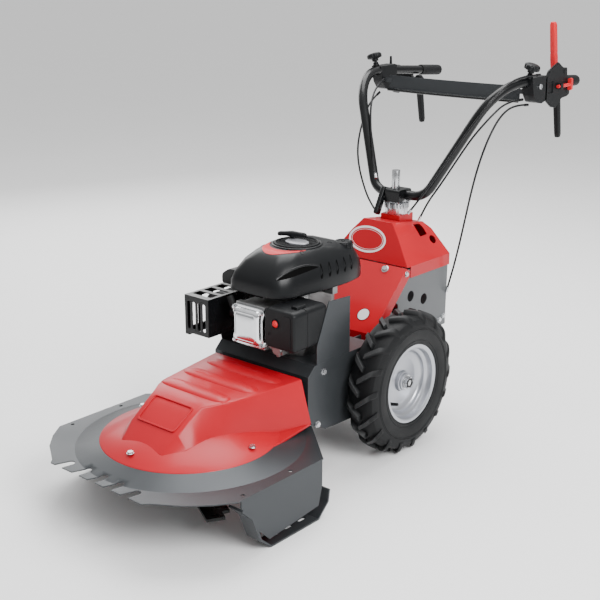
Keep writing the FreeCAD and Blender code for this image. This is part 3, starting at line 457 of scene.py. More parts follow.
def nose_ring(y, low_x, low_z, top_x, top_z):
    skirt = 178 if y > -600 else 174
    half = [(low_x + 2, skirt), (low_x, low_z), (top_x, top_z - 2), (top_x - 6, top_z)]
    middle = [(top_x * 0.45, top_z), (0, top_z)]
    right = half + middle
    return [at(x, y, z) for x, z in right] + [at(-x, y, z) for x, z in reversed(right[:-1])]


def deck_cover():
    dome = lathe(DOME, COVER_CENTRE, (0, 0, 1), 96)
    nose = loft([nose_ring(*section) for section in NOSE], caps=False, closed=False)
    front = [list(range(11))]
    tail = slab([(-189, -345), (189, -345), (214, -515), (-214, -515)], "z", 171, 178)
    parts = [dome, (nose[0], nose[1] + front), tail]
    for y, width in ((-571, 119), (-483, 131), (-396, 136)):
        bead = []
        for x in range(-14, 15):
            share = x / 14
            size = math.sqrt(max(0.004, 1 - abs(share) ** 7))
            bead.append([at(share * width, y + 27 * size * math.cos(a),
                            282 + 15 * size * math.sin(a) ** 0.7)
                         for a in (math.pi * s / 12 for s in range(13))])
        parts.append(loft(bead, closed=False, caps=False))
    piece("deck_cover_shell", parts, RED_COVER, "chassis", ["deck_cover"], bevel=2.5,
          angle=30)
    slope = Vector((0, 75, 48))
    centre = (0, -671, 263.4)
    panel = rounded([(-67, -47), (67, -47), (70, 34), (-70, 34)], 9)
    inner = [(a * 0.93, b * 0.9) for a, b in panel]
    piece("cover_nose_panel", [flat_ring(panel, inner, centre, (1, 0, 0), slope, 2.6)], RED_COVER,
          "chassis", bevel=0.9)


deck_cover()


# Engine cowl, its grille, starter grip, fuel cap

COWL = [
    (486, [(-78, -350), (64, -346), (90, -314), (110, -198), (112, -100), (102, -42), (78, -6),
           (-78, -6), (-102, -42), (-112, -100), (-112, -198), (-104, -318)]),
    (489, [(-84, -356), (68, -353), (94, -319), (114, -200), (116, -100), (106, -39), (81, -1),
           (-81, -1), (-106, -39), (-116, -100), (-116, -200), (-108, -322)]),
    (512, [(-82, -357), (66, -354), (92, -318), (114, -200), (116, -98), (106, -37), (80, -1),
           (-80, -1), (-106, -37), (-116, -98), (-116, -200), (-106, -322)]),
    (536, [(-74, -350), (61, -349), (87, -313), (111, -200), (113, -96), (102, -37), (77, -6),
           (-77, -6), (-102, -37), (-113, -96), (-112, -200), (-98, -315)]),
    (566, [(-62, -325), (54, -324), (78, -291), (100, -196), (101, -100), (91, -49), (69, -23),
           (-69, -23), (-91, -49), (-101, -100), (-101, -196), (-84, -293)]),
    (584, [(-44, -299), (44, -299), (66, -274), (86, -196), (86, -122), (74, -78), (54, -56),
           (-54, -56), (-74, -78), (-86, -122), (-86, -196), (-66, -274)]),
    (592, [(-36, -278), (36, -278), (56, -258), (74, -196), (73, -142), (58, -106), (38, -90),
           (-38, -90), (-58, -106), (-73, -142), (-74, -196), (-56, -258)]),
]
CRANK = (0, -180, 0)


def cowl():
    """Lofted engine cowl with a collar for the grille and an ear at its front."""
    rings = []
    for z, outline in COWL:
        rings.append([at(x, y, z) for x, y in rounded(outline, 26, 3)])
    top = [at(*p, 592) for p in rounded(COWL[-1][1], 26, 3)]
    centre = at(0, -180, 592)
    hole = [centre + (p - centre).normalized() * 0.062 for p in top]
    parts = [loft([*rings, hole], caps=False)]
    parts.append(lathe([(580, 62), (594, 62), (595.5, 63), (595.5, 67), (594, 69), (591, 69.5)],
                       CRANK, (0, 0, 1), 64))
    ear = rounded([(-150, 486), (-150, 512), (-124, 529), (-92, 529), (-92, 486)], 8)
    parts.append(slab(ear, "y", -318, -190))
    shell = piece("cowl_shell", parts, GLOSS_PLASTIC, "chassis",
                  ["blower_housing"], bevel=1.2, angle=28)
    return shell


COWL_SHELL = cowl()


def cast(target, origin, heading):
    """Where a ray from origin meets the target, as (point, normal)."""
    graph = bpy.context.evaluated_depsgraph_get()
    hit, point, normal, _ = target.evaluated_get(graph).ray_cast(origin, Vector(heading))
    return (point, normal) if hit else (origin, Vector(heading) * -1)


def cowl_details():
    """Five teardrop vents on each side, a red stripe, a side scoop and three screw recesses. The vents and the
    hollow under the scoop lip are near-black patches of painted shade.
    """
    vents, lips = [], []
    for side in (-1, 1):
        for k in range(5):
            y = -206 + 31 * k
            outline = []
            for a, b in oval(4.2, 19, 24):
                taper = 1.25 - 0.5 * (b + 15) / 30
                outline.append((a * taper, b))
            for scale, rise, into in ((1.0, 0.35, vents), (1.35, 0.15, lips)):
                ring_low, ring_high = [], []
                for a, b in outline:
                    start = at(side * 200, y + a * scale + b * 0.18, 540 + b * (1 + (scale - 1) * 0.3))
                    point, normal = cast(COWL_SHELL, start, (-side, 0, 0))
                    ring_low.append(point - normal * 0.001)
                    ring_high.append(point + normal * rise / 1000)
                into.append(loft([ring_low, ring_high]))
    # The vents are near-black patches laid on the cowl: painted shade for the openings
    piece("cowl_vent_painted_shade", vents, PAINTED_SHADE, "chassis")
    piece("cowl_vent_lips", lips, GLOSS_PLASTIC, "chassis")
    stripe = []
    for k in range(21):
        t = k / 20
        turn = math.radians(206 + 124 * t)
        width = 30 * math.sin(math.pi * (0.06 + 0.88 * t)) ** 1.5 + 1
        inner, outer = 80 - 6 * t, 80 - 6 * t + width
        row = []
        for radius in (inner + (outer - inner) * k / 7 for k in range(8)):
            start = at(4 + radius * 0.92 * math.cos(turn), -180 + radius * 1.06 * math.sin(turn), 700)
            point, normal = cast(COWL_SHELL, start, (0, 0, -1))
            row.append(point + normal * 0.0007)
        stripe.append(row)
    piece("cowl_stripe", [loft(stripe, caps=False, closed=False)], RED_PLASTIC, "chassis",
          thick=0.4)
    scoop, lip = [], []
    for k in range(25):
        t = k / 24
        y, z = -338 + 128 * t, 536 + 16 * t
        height = 15 * math.sin(math.pi * t) ** 0.8
        low_row, lip_row = [], []
        for j in range(5):
            point, normal = cast(COWL_SHELL, at(220, y, z + height * j / 4), (-1, 0, 0))
            low_row.append(point + normal * 0.0006)
        for j in range(4):
            point, normal = cast(COWL_SHELL, at(220, y, z + height + 1.6 * j), (-1, 0, 0))
            lip_row.append(point + normal * (0.0002 + 0.0022 * math.sin(math.pi * (j + 0.4) / 4)))
        scoop.append(low_row)
        lip.append(lip_row)
    # A near-black strip under the scoop lip: painted shadow of the hollow
    piece("cowl_scoop", [loft(scoop, caps=False, closed=False)], PAINTED_SHADE, "chassis",
          thick=0.5)
    piece("cowl_scoop_lip", [loft(lip, caps=False, closed=False)], GLOSS_PLASTIC, "chassis",
          thick=0.6)
    recesses = []
    for x, y in ((-62, -250), (66, -236), (56, -112)):
        point, normal = cast(COWL_SHELL, at(x, y, 700), (0, 0, -1))
        local = Matrix.Translation(point) @ normal.to_track_quat("Z", "Y").to_matrix().to_4x4()
        ring = lathe([(-3, 0.1), (-3, 4.2), (0.6, 5), (0.8, 6.4), (-0.5, 7.2)], (0, 0, 0),
                     (0, 0, 1), 24)
        base = Matrix.Translation(-at(0, 0, 0))
        recesses.append(moved(moved(ring, base), local))
    piece("cowl_screw_recesses", recesses, PLASTIC, "chassis")


cowl_details()


def grille():
    """Slotted round grille with a plain silver badge in its middle."""
    parts = [lathe([(586, 56), (597, 56), (598.4, 57.5), (598.4, 60), (597, 61.5), (588, 61.5)],
                   CRANK, (0, 0, 1), 72)]
    for k in range(13):
        radius = 33 + 1.9 * k
        parts.append(lathe([(594.4, radius - 0.45), (596, radius - 0.45), (596, radius + 0.45),
                            (594.4, radius + 0.45)], CRANK, (0, 0, 1), 60))
    for k in range(40):
        turn = 2 * math.pi * k / 40
        heading = Vector((math.cos(turn), math.sin(turn), 0))
        start, end = at(0, -180, 594.6) + heading * 0.031, at(0, -180, 594.6) + heading * 0.057
        parts.append(hose([start, end], 0.6, 6))
    parts.append(lathe([(589, 0.1), (589, 57)], CRANK, (0, 0, 1), 48))
    piece("recoil_grille", parts, PLASTIC, "chassis", ["recoil_cover"])
    badge = oval(36, 25, 48)
    rings = [[at(a * s, -180 + b * s, z) for a, b in badge]
             for s, z in ((1.0, 592), (1.0, 597.5), (0.96, 599), (0.86, 599.6), (0.4, 600.4))]
    piece("recoil_badge", [loft(rings)], SILVER, "chassis", bevel=0.3)
    piece("rope_eyelet", [lathe([(590, 4.2), (600, 4.2), (601, 5), (601, 8), (599, 9.5), (590, 9.5)],
                                (-31, -165, 0), (0, 0, 1), 32)], PLASTIC, "chassis")


grille()


def starter_grip():
    turn = Matrix.Rotation(math.radians(22.5), 4, "Z")
    hub = Matrix.Translation(at(-31, -165, 612)) @ turn
    sections = [(-41, 3, 3), (-40, 5.5, 5), (-34, 7.8, 6.6), (-20, 7.2, 6.4), (-9, 8.4, 7.4),
                (0, 9.2, 8.0), (9, 8.4, 7.4), (20, 7.2, 6.4), (34, 7.8, 6.6), (40, 5.5, 5),
                (41, 3, 3)]
    rings = []
    for x, half_y, half_z in sections:
        droop = -abs(x / 41) ** 2 * 2.5
        rings.append([hub @ (Vector((x, b, c + droop)) / 1000) for b, c in oval(half_y, half_z, 20)])
    bar = loft(rings)
    neck = lathe([(-11, 5.5), (-8, 7.5), (-5, 8.4), (0, 8.5)], (-31, -165, 612), (0, 0, 1), 24)
    piece("starter_grip_body", [bar, neck], PLASTIC, "starter_grip",
          ["starter_handle"], angle=50)
    strand = [at(-31, -165, z) for z in (575, 582, 590, 596, 601)]
    rope = piece("starter_rope", [hose(strand, 2.2)], RUBBER, None)
    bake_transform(rope)


starter_grip()


def fuel_cap():
    rings = []
    for z, reach, flute in ((568, 26.4, 1.6), (571, 27.2, 1.9), (582, 27.0, 1.8), (586, 25.6, 1.2),
                            (588.2, 22, 0.2), (588.6, 18, 0), (587.2, 16.5, 0), (587.2, 6, 0),
                            (589, 5, 0), (589.4, 0.2, 0)):
        ring = []
        for k in range(144):
            turn = 2 * math.pi * k / 144
            wave = flute * (1 if k % 12 < 7 else 0)
            ring.append(at(62 + (reach - flute + wave) * math.cos(turn),
                           -60 + (reach - flute + wave) * math.sin(turn), z))
        rings.append(ring)
    piece("fuel_cap_body", [loft(rings)], PLASTIC, "tank_cap", ["fuel_cap"],
          angle=40)


fuel_cap()


# Engine front: valve cover and air filter box

def valve_cover():
    """Bright pressed cover: a flange with four screw ears and a bulging waisted cap."""
    flange = rounded([(-55, 356), (-38, 354), (38, 354), (55, 356), (55, 374), (51, 384), (51, 432),
                      (55, 442), (55, 460), (38, 462), (-38, 462), (-55, 460), (-55, 442), (-51, 432),
                      (-51, 384), (-55, 374)], 7, 4)
    cap = rounded([(-47, 361), (47, 361), (45, 392), (45, 424), (47, 456), (-47, 456), (-45, 424),
                   (-45, 392)], 20, 6)
    middle = Vector((0, 408))

    def ring(outline, y, scale):
        return [at(p.x, y, p.y) for p in (middle + (Vector(q) - middle) * scale for q in outline)]
    base = loft([ring(flange, -364, 1), ring(flange, -374, 1), ring(flange, -375.5, 0.975)])
    bulge = loft([ring(cap, y, scale) for y, scale in
                  ((-372, 1.02), (-376, 1.0), (-380, 0.975), (-384, 0.93), (-387, 0.87),
                   (-388.6, 0.80), (-388.2, 0.75), (-389.6, 0.71), (-390.8, 0.62), (-391.0, 0.30))])
    screws = [lathe([(0, 6.5), (3, 6.5), (3.4, 6), (3.4, 4.8), (7, 4.8), (7.6, 4), (7.6, 0.1)],
                    (x, -375, z), (0, -1, 0), 24)
              for x, z in ((-47, 363), (47, 363), (-47, 453), (47, 453))]
    piece("valve_cover_body", [base, bulge], CHROME, "chassis", ["valve_cover"], angle=40)
    piece("valve_cover_screws", screws, ZINC, "chassis")


def air_box():
    """A body with a removable lid, its step line, a clip and two ribs."""
    body = rounded([(63, 370), (166, 370), (166, 470), (155, 477), (74, 478), (63, 466)], 12, 4)
    middle = Vector((114, 424))
    rings = []
    for y, scale in ((-254, 0.96), (-262, 1.0), (-330, 1.0), (-331, 0.975), (-334, 0.975),
                     (-335, 1.0), (-376, 0.99), (-381, 0.96), (-384, 0.90), (-384.3, 0.5)):
        flat = [middle + (Vector(p) - middle) * scale for p in body]
        rings.append([at(p.x, y, p.y) for p in flat])
    parts = [loft(rings)]
    parts.append(slab(rounded([(126, 381), (154, 381), (154, 466), (126, 466)], 8), "y", -385.6, -383))
    parts.append(slab(rounded([(128, 470), (148, 470), (148, 484), (128, 484)], 3), "y", -352, -318))
    parts.append(lathe([(-2, 13), (-2.4, 12), (-2.4, 10.8), (1, 10.6)], (103, -384, 439),
                       (0, 1, 0), 32))
    parts.append(lathe([(-1.4, 3.6), (-1.4, 2.4), (1, 2.2)], (82, -384, 408), (0, 1, 0), 20))
    piece("air_box_body", parts, PLASTIC, "chassis", ["air_filter_box"], bevel=0.6)


valve_cover()
air_box()


# Hood: folded sheet with an upper facet, a cable slot and a round hole

HOOD_CROWN_FRONT = (52, 180, 592)
HOOD_CROWN_BACK = (60, 323, 573)
HOOD_FACET_FRONT = (83, 166, 557)
HOOD_FACET_BACK = (86, 331, 556)
HOOD_BROW_FRONT = (138, 140, 482)
HOOD_BROW_BACK = (138, 357, 482)


def hood():
    right = [HOOD_CROWN_FRONT, HOOD_FACET_FRONT, HOOD_BROW_FRONT]
    back = [HOOD_CROWN_BACK, HOOD_FACET_BACK, HOOD_BROW_BACK]
    lip_front = (138, 157, 448)
    lip_notch = (138, 157, 482)
    lip_back = (138, 357, 448)

    def left(p):
        return (-p[0], p[1], p[2])
    names = {}
    points = []

    def vertex(p):
        if p not in names:
            names[p] = len(points)
            points.append(at(*p))
        return names[p]
    faces = []
    for flip in (False, True):
        side = (lambda p: left(p)) if flip else (lambda p: p)
        polygons = [
            [right[0], right[1], back[1], back[0]],
            [right[1], right[2], back[2], back[1]],
            [right[2], lip_notch, back[2]],
            [lip_notch, lip_front, lip_back, back[2]],
        ]
        faces += [[vertex(side(p)) for p in polygon] for polygon in polygons]
    faces.append([vertex(p) for p in (left(right[0]), left(right[1]), left(right[2]), right[2],
                                      right[1], right[0])])
    faces.append([vertex(p) for p in (right[0], back[0], left(back[0]), left(right[0]))])
    faces.append([vertex(p) for p in (back[0], back[1], back[2], left(back[2]), left(back[1]),
                                      left(back[0]))])
    faces.append([vertex(p) for p in (back[2], lip_back, left(lip_back), left(back[2]))])
    shell = piece("hood_shell", [(points, faces)], RED, "chassis", ["top_cover"],
                  thick=2.6, angle=12)
    bpy.context.view_layer.update()
    baked(shell)
    normal = Vector((0.785, 0, 0.62))
    hole = lathe([(-20, 0.01), (-20, 13), (25, 13), (25, 0.01)], (100, 312, 524), normal, 40)
    seat = block(-38, 38, 236, 311, 560, 620)
    slot = slab(rounded([(64, 263), (94, 263), (94, 297), (64, 297)], 3), "z", 520, 610)
    carve(shell, [hole, seat, slot])
    hood_marks(shell)
    add_bevel(shell, 1.4, 14, 3)


def laid_figure(target, outline, centre, right, up, rises):
    """Rings of a flat figure dropped onto the target along the figure's normal."""
    right, up = Vector(right).normalized(), Vector(up).normalized()
    normal = right.cross(up).normalized()
    rings = [[] for _ in rises]
    for a, b in outline:
        start = at(*centre) + (right * a + up * b) / 1000 + normal * 0.08
        point, _ = cast(target, start, -normal)
        for ring, rise in zip(rings, rises):
            ring.append(point + normal * rise / 1000)
    return rings


def printed_band(target, outer, inner, centre, right, up):
    low_out, high_out = laid_figure(target, outer, centre, right, up, (-0.3, 0.4))
    high_in, low_in = laid_figure(target, inner, centre, right, up, (0.4, -0.3))
    return loft([low_out, high_out, high_in, low_in], caps=False)


def hood_marks(shell):
    """A plain oval band on the front face and a plain round patch on the lower panel."""
    up = Vector((0, 40, 110))
    centre = (-22, 161, 536)
    bands = [printed_band(shell, oval(67, 39, 96), oval(60, 33, 96), centre, (1, 0, 0), up),
             printed_band(shell, oval(56, 29.5, 96), oval(55, 28.6, 96), centre, (1, 0, 0), up)]
    piece("hood_plain_band", bands, RIM_WHITE, "chassis")
    normal = Vector((0, -1, 1))
    spot = flat_patch(oval(18, 18, 40), (78, 16, 360.6), (1, 0, 0), (0, 1, 1), 0.5)
    rim = flat_ring(oval(19.5, 19.5, 40), oval(18, 18, 40), (78, 16, 360.6), (1, 0, 0), (0, 1, 1), 0.6)
    piece("panel_plain_disc", [spot], LABEL, "chassis")
    piece("panel_disc_rim", [rim], BLACK_PAINT, "chassis")
    heads = []
    for x in (-71, 71):
        heads.append(lathe([(-0.5, 11), (1.6, 11), (2.2, 9.5), (2.2, 6)], (x, 125, 469), normal, 32))
        heads.append(lathe([(1.6, 8.6), (7.4, 8.6), (8.6, 7.4), (8.6, 0.1)], (x, 125, 469), normal, 6))
    piece("panel_bolts", heads, ZINC, "chassis")


hood()


# Wheels

CARCASS = [(36, 103), (38, 108), (40.5, 112), (42.5, 116), (42.0, 119), (43.2, 122), (45, 132),
           (46, 146), (45.4, 160), (43.5, 172), (39, 182), (30, 187.5), (15, 189.6), (0, 190)]
CENTRE = Vector((WHEEL_X, 0, AXLE_Z))


def lug_top(x):
    """Radius of the tread's outer face at a distance from the middle of the tyre."""
    x = abs(x)
    if x < 28:
        return 203 - 2.2 * (x / 28) ** 2
    return 200.8 - 27 * ((x - 28) / 18) ** 1.7


def lug_base(x):
    x = abs(x)
    return 188 - 4 * (x / 38) ** 3 if x < 38 else 184 - 16 * (x - 38) / 8


def wheel_point(x, radius, turn):
    return at(WHEEL_X + x, radius * math.sin(turn), AXLE_Z + radius * math.cos(turn))


def tyre_parts():
    half = [(x, r) for x, r in CARCASS]
    profile = half + [(-x, r) for x, r in reversed(half[:-1])]
    parts = [lathe(profile, tuple(CENTRE), (1, 0, 0), 120)]
    for radius, x in ((124, 43.9), (154, 46.1), (158, 45.8)):
        for side in (-1, 1):
            parts.append(lathe([(side * (x - 0.6), radius - 1.6), (side * (x + 0.6), radius - 0.6),
                                (side * (x + 0.6), radius + 0.6), (side * (x - 0.6), radius + 1.6)],
                               tuple(CENTRE), (1, 0, 0), 120))
    for side in (-1, 1):
        for k in range(18):
            start = math.radians(20 * (k + 0.25 * side))
            rings = []
            for s in range(9):
                x = -4 + 50 * s / 8
                lean = 0.78 * (x + 4) / 195 + 0.0012 * max(0, x - 20) ** 1.4 / 10
                width = (6.2 + 1.6 * (s / 8)) / 195
                top, base = lug_top(x), lug_base(x)
                turn = start + lean
                draft = 0.30 * width
                rings.append([wheel_point(side * x, radius, turn + offset)
                              for radius, offset in ((base, -width - draft), (top - 0.8, -width),
                                                     (top, -width * 0.85), (top, width * 0.85),
                                                     (top - 0.8, width), (base, width + draft))])
            parts.append(loft(rings))
    return parts


def wheels():
    piece("tyre_treads", both(*tyre_parts()), TYRE, "wheelset", ["tyres"], angle=32)
    rim = [(40, 110), (40.4, 113), (39.5, 114.4), (37.6, 114.4), (36.8, 112), (36, 103), (30, 102.5),
           (20, 102), (14, 93), (-14, 92), (-20, 102), (-36, 103), (-36.8, 112), (-37.6, 114.4),
           (-40, 114), (-40, 110), (-39, 100), (-22, 98), (-17, 88), (-4, 88), (-4, 26), (-14, 26),
           (-14, 15), (19, 15), (19, 22.5), (18, 24), (5, 24.6), (3.2, 26), (2.2, 30), (0.6, 62),
           (0.2, 70), (2.4, 74), (3.4, 80), (6, 85), (10, 87.5), (17, 88.5), (20, 92), (22, 97.5),
           (26, 99.6), (37, 100.6), (39, 103), (40, 110)]
    hub = [(3, 30), (8, 28.5), (12, 28), (13, 24.6)]
    socket = [(31.4, 15.4), (32.2, 15), (32.2, 9), (29, 8.6), (29, 0.1)]
    valve = hose([wheel_point(6, 84, math.radians(236)), wheel_point(22, 80, math.radians(236)),
                  wheel_point(38, 76, math.radians(236))], [5.6, 4.6, 4.2])
    piece("wheel_rim_discs", both(lathe(rim, tuple(CENTRE), (1, 0, 0), 96),
                                  lathe(hub, tuple(CENTRE), (1, 0, 0), 48)), SILVER, "wheelset",
          ["wheel_rims"], angle=40)
    piece("hub_sockets", both(lathe(socket, tuple(CENTRE), (1, 0, 0), 6)), CAST_IRON, "wheelset",
          angle=30)
    piece("tyre_valves", both(valve), RUBBER, "wheelset", angle=50)


wheels()


# Handlebar fittings: (y, z) pivots of the hand levers, and the plane in which they swing

LEVER_X = 254
LEVER_PIVOT = (734, 940)
RED_PIVOT = (712, 998)
CLAMP_PIVOT = (0, 256, 668)
CHEEK_IN, CHEEK_OUT = 285, 290
KNOB_SEAT = (275, 524)


def grip_parts():
    """A foam grip with a rounded end and fine rings near both ends."""
    start, end = Vector((272, 560, 980)), Vector((255, 846, 960))
    heading = (end - start).normalized()
    base = end - heading * 98
    profile = [(0, 14.2), (0, 16), (1.2, 16.9), (5, 16.9), (6, 16.2), (7, 16.9), (92, 16.8),
               (99, 16.2), (101.6, 14), (102.4, 10), (102.4, 0.1)]
    return lathe(profile, tuple(base), heading, 40)


def knob(side):
    """A fluted knob with a domed cap on its stem."""
    rings = []
    heading = Vector((0.30, 0, 0.95)).normalized()
    right = Vector((0, 1, 0)).cross(heading).normalized()
    other = heading.cross(right)
    base = at(*KNOB_SEAT, 998)
    for along, reach, flute in ((11, 8, 0), (12, 10, 0), (18, 10.5, 0), (20, 17, 0.3),
                                (21, 22, 1.2), (24, 23.6, 1.8), (31, 23.6, 1.8), (34, 22, 1.4),
                                (36, 18, 0.4), (37.2, 10, 0), (37.5, 0.3, 0)):
        ring = []
        for k in range(96):
            turn = 2 * math.pi * k / 96
            size = reach - flute * (0.5 + 0.5 * math.cos(turn * 12))
            ring.append(base + (heading * along + right * size * math.cos(turn)
                                + other * size * math.sin(turn)) / 1000)
        rings.append(ring)
    part = loft(rings)
    return part if side > 0 else flip_x(part)


def stacked(sections, pivot):
    """A moulded lever from (z, y, half depth, half width) sections with a hub on its pivot."""
    rings = []
    for z, y, half_y, half_x in sections:
        corner = [(-half_x, -half_y), (half_x, -half_y), (half_x, half_y), (-half_x, half_y)]
        rings.append([at(LEVER_X + a, y + b, z) for a, b in rounded(corner, 5, 4)])
    hub = lathe([(-9, 4.1), (-9, 10.5), (-8, 11), (8, 11), (9, 10.5), (9, 4.1)], (LEVER_X, *pivot),
                (1, 0, 0), 32)
    return [loft(rings), hub]


def lever_part():
    return stacked([(941, 734, 10, 7.5), (930, 735.5, 10.8, 8.6), (908, 739.4, 10.4, 9),
                    (880, 744.6, 10, 9), (846, 750.8, 9.6, 8.8), (804, 758.4, 8.6, 8.8),
                    (794, 758.6, 6.8, 7.6), (792.2, 758.4, 4, 4.5)], LEVER_PIVOT)


def red_lever_part():
    return stacked([(1000, 710.5, 10.5, 7), (1012, 708.6, 11, 8.4), (1028, 706, 10.8, 9),
                    (1048, 702.7, 10.5, 9), (1051, 702.2, 10, 8.2), (1056, 701.4, 10.4, 8.8),
                    (1100, 694.2, 9.7, 9), (1136, 688.3, 9, 9), (1142, 687.5, 7.4, 7),
                    (1143.6, 687.2, 5, 4)], RED_PIVOT)


def bar_fittings():
    piece("grip_sleeves", both(grip_parts()), RUBBER, "handlebar", ["grips"], angle=40)
    piece("knob_left_body", [knob(1)], PLASTIC, "knob_a", ["knob_left"], angle=40)
    piece("knob_right_body", [knob(-1)], PLASTIC, "knob_b", ["knob_right"],
          angle=40)
    left = lever_part()
    piece("clutch_lever_body", left, PLASTIC, "clutch", ["clutch_lever"], angle=45)
    piece("drive_lever_body", [flip_x(p) for p in left], PLASTIC, "drive",
          ["drive_lever"], angle=45)
    piece("red_lever_body", red_lever_part(), RED_PLASTIC, "red", ["red_lever"],
          angle=45)


bar_fittings()


def brackets():
    """Moulded lever brackets: a clamp block, a recessed cheek and the pivot bosses."""
    clamp = rounded([(518, 994), (606, 996), (609, 925), (580, 916), (548, 922), (530, 945)], 6)
    body = slab(clamp, "x", 253, CHEEK_OUT)
    lower = [(746, 958), (748, 930), (734, 924), (700, 921), (667, 895), (639, 900), (599, 925)]
    tall = rounded([(598, 986), (612, 1008), (668, 1030), (700, 1012), (724, 1010), (730, 974),
                    *lower], 4)
    low = rounded([(599, 986), (662, 988), (724, 970), *lower], 4)
    recess = block(287, 292, 614, 644, 942, 976)
    boss_low = lathe([(-48, 4), (-12, 4), (-6, 7), (0, 8), (5.6, 8), (6.4, 7), (6.4, 0.1)],
                     (CHEEK_IN, *LEVER_PIVOT), (1, 0, 0), 32)
    boss_high = lathe([(-43, 4), (-12, 4), (-6, 7), (0, 8), (5.6, 8), (6.4, 7), (6.4, 0.1)],
                      (CHEEK_IN, *RED_PIVOT), (1, 0, 0), 32)
    ridge = slab([(614, 1006), (666, 1026.5), (668, 1022), (617, 1001)], "x", 284, 292)
    edge = slab([(604, 924), (640, 902.5), (643, 907), (607, 929)], "x", 284, 292)
    post = hose([at(272, 524, 989), at(275, 524, 998), at(282.5, 524, 1021)], 5)
    collar = lathe([(0, 10), (5, 10), (7, 8), (12, 8), (12, 0.1)], (275, 524, 994), (0.3, 0, 0.95), 32)
    ledge = block(290, 303, 668, 684, 951, 967)
    nut = lathe([(0, 0.1), (0, 8.5), (5, 8.5), (6.4, 7.4), (6.4, 0.1)], (290, 562, 967), (1, 0, 0), 6)
    throttle_box = lathe([(0, 17), (8, 17), (10, 15), (10, 0.1)], (290, 640, 975), (1, 0, 0), 40)
    near = piece("lever_bracket_left_body", [slab(tall, "x", CHEEK_IN, CHEEK_OUT)], PLASTIC, "handlebar",
                 ["lever_bracket_left"])
    far = piece("lever_bracket_right_body", [flip_x(slab(low, "x", CHEEK_IN, CHEEK_OUT))], PLASTIC, "handlebar",
                ["lever_bracket_right"])
    carve(near, [recess])
    carve(far, [flip_x(recess)])
    near_parts = [body, boss_low, boss_high, ridge, edge, post, collar, ledge]
    far_parts = [flip_x(p) for p in (body, boss_low, edge, post, collar, throttle_box)]
    piece("bracket_left_clamp", near_parts, PLASTIC, "handlebar", bevel=0.8)
    piece("bracket_right_clamp", far_parts, PLASTIC, "handlebar", bevel=0.8)
    for cheek in (near, far):
        add_bevel(cheek, 0.8)
    piece("bracket_nuts", both(nut), ZINC, "handlebar", bevel=0.5)


brackets()


def cross_plate():
    """Bowed sheet between the bars with a rolled lower lip."""
    rings = []
    for k in range(33):
        x = -236 + 472 * k / 32
        y = 530 + 13 * abs(x / 236) ** 2.2
        rings.append([at(x, y - 8, 924), at(x, y - 5, 921), at(x, y + 1, 921), at(x, y + 3, 924),
                      at(x, y + 3, 966), at(x, y + 0.5, 967), at(x, y, 965), at(x, y, 927),
                      at(x, y - 5, 925)])
    lug = block(224, 252.5, 540, 544, 944, 958)
    piece("cross_plate_sheet", [loft(rings), *both(lug)], SLATE, "handlebar",
          ["cross_plate"], bevel=0.6)
    lip = []
    for k in range(33):
        x = -236 + 472 * k / 32
        lip.append(at(x, 528 + 13 * abs(x / 236) ** 2.2 - 4, 922))
    piece("cross_plate_lip", [hose(lip, 4.2)], BLACK_PAINT, "handlebar")


cross_plate()


def clamp_lever():
    """Cast cam lever that hangs down the front of the head."""
    swing = Matrix.Rotation(math.radians(-28), 4, "X")
    pivot = Matrix.Translation(at(*CLAMP_PIVOT)) @ swing
    outline = rounded([(-11, -78), (11, -78), (11, 0), (8, 8), (-9, 8), (-11, 0)], 6)
    rings = []
    for x, scale in ((-42, 0.84), (-41, 0.94), (-38, 1.0), (-33, 1.0), (-30, 0.94), (-29, 0.84)):
        rings.append([pivot @ (Vector((x, y * scale, z * (0.97 + 0.03 * scale))) / 1000)
                      for y, z in outline])
    rib = slab([(-3, -68), (3, -68), (3, -20), (-3, -20)], "x", -43, -41)
    rib = moved(moved(rib, Matrix.Translation(-at(0, 0, 0))), pivot)
    pin = lathe([(-44, 0.1), (-44, 7), (-42, 8), (-40, 8)], CLAMP_PIVOT, (1, 0, 0), 24)
    piece("clamp_lever_body", [loft(rings), rib, pin], BLACK_PAINT, "clamp",
          ["clamp_lever"], angle=50)


clamp_lever()


# Control cables: routes repeat the CAD's, each made of two halves that meet where the cable follows the column

FAR_LOOP = [(-262, 528, 912), (-262, 478, 890), (-258, 432, 826), (-238, 384, 760),
            (-204, 348, 706), (-160, 319, 651), (-118, 296, 611), (-78, 280, 586)]
FAR_LEG = [(-236, 512, 955), (-216, 446, 940), (-188, 384, 898), (-158, 344, 838),
           (-124, 312, 768), (-98, 286, 727), (-70, 262, 696)]
NEAR_OVER = [(292, 556, 1001), (285, 500, 1003), (262, 440, 990), (238, 371, 929), (203, 335, 863),
             (160, 300, 778), (118, 274, 700), (86, 258, 650), (60, 246, 610)]
NEAR_UNDER = [(256, 528, 930), (243, 462, 930), (224, 408, 890), (191, 372, 834), (165, 351, 782),
              (119, 317, 688), (88, 298, 634), (68, 290, 582)]
NEAR_LONG = [(266, 542, 914), (260, 476, 920), (252, 416, 896), (246, 366, 838), (232, 342, 762),
             (214, 338, 680), (194, 342, 590), (172, 348, 500), (154, 348, 424), (141, 341, 366)]


CABLE_RADIUS = 3
COLLAR_RADIUS = 4.1
FERRULE_RADIUS = 4.3
FERRULE_LENGTH = 0.016


def cable(name, route, stand_for=()):
    """Two halves that meet where the cable follows the column."""
    line = spline_points(route)
    middle = len(line) // 2
    upper, lower = line[:middle + 1], line[middle:]
    ferrules = []
    for end, near in ((line[0], line[3]), (line[-1], line[-4])):
        heading = (near - end).normalized()
        ferrules.append([end, end + heading * FERRULE_LENGTH])
    top = piece(f"{name}_upper", [hose(upper, CABLE_RADIUS), hose(ferrules[0], COLLAR_RADIUS)],
                CABLE, None)
    bottom = piece(f"{name}_lower", [hose(lower, CABLE_RADIUS)], CABLE, None)
    piece(f"{name}_ferrule", [hose(ferrules[1], FERRULE_RADIUS)], ZINC, "chassis")
    if stand_for:
        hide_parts(*stand_for)
    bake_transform(top)
    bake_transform(bottom)


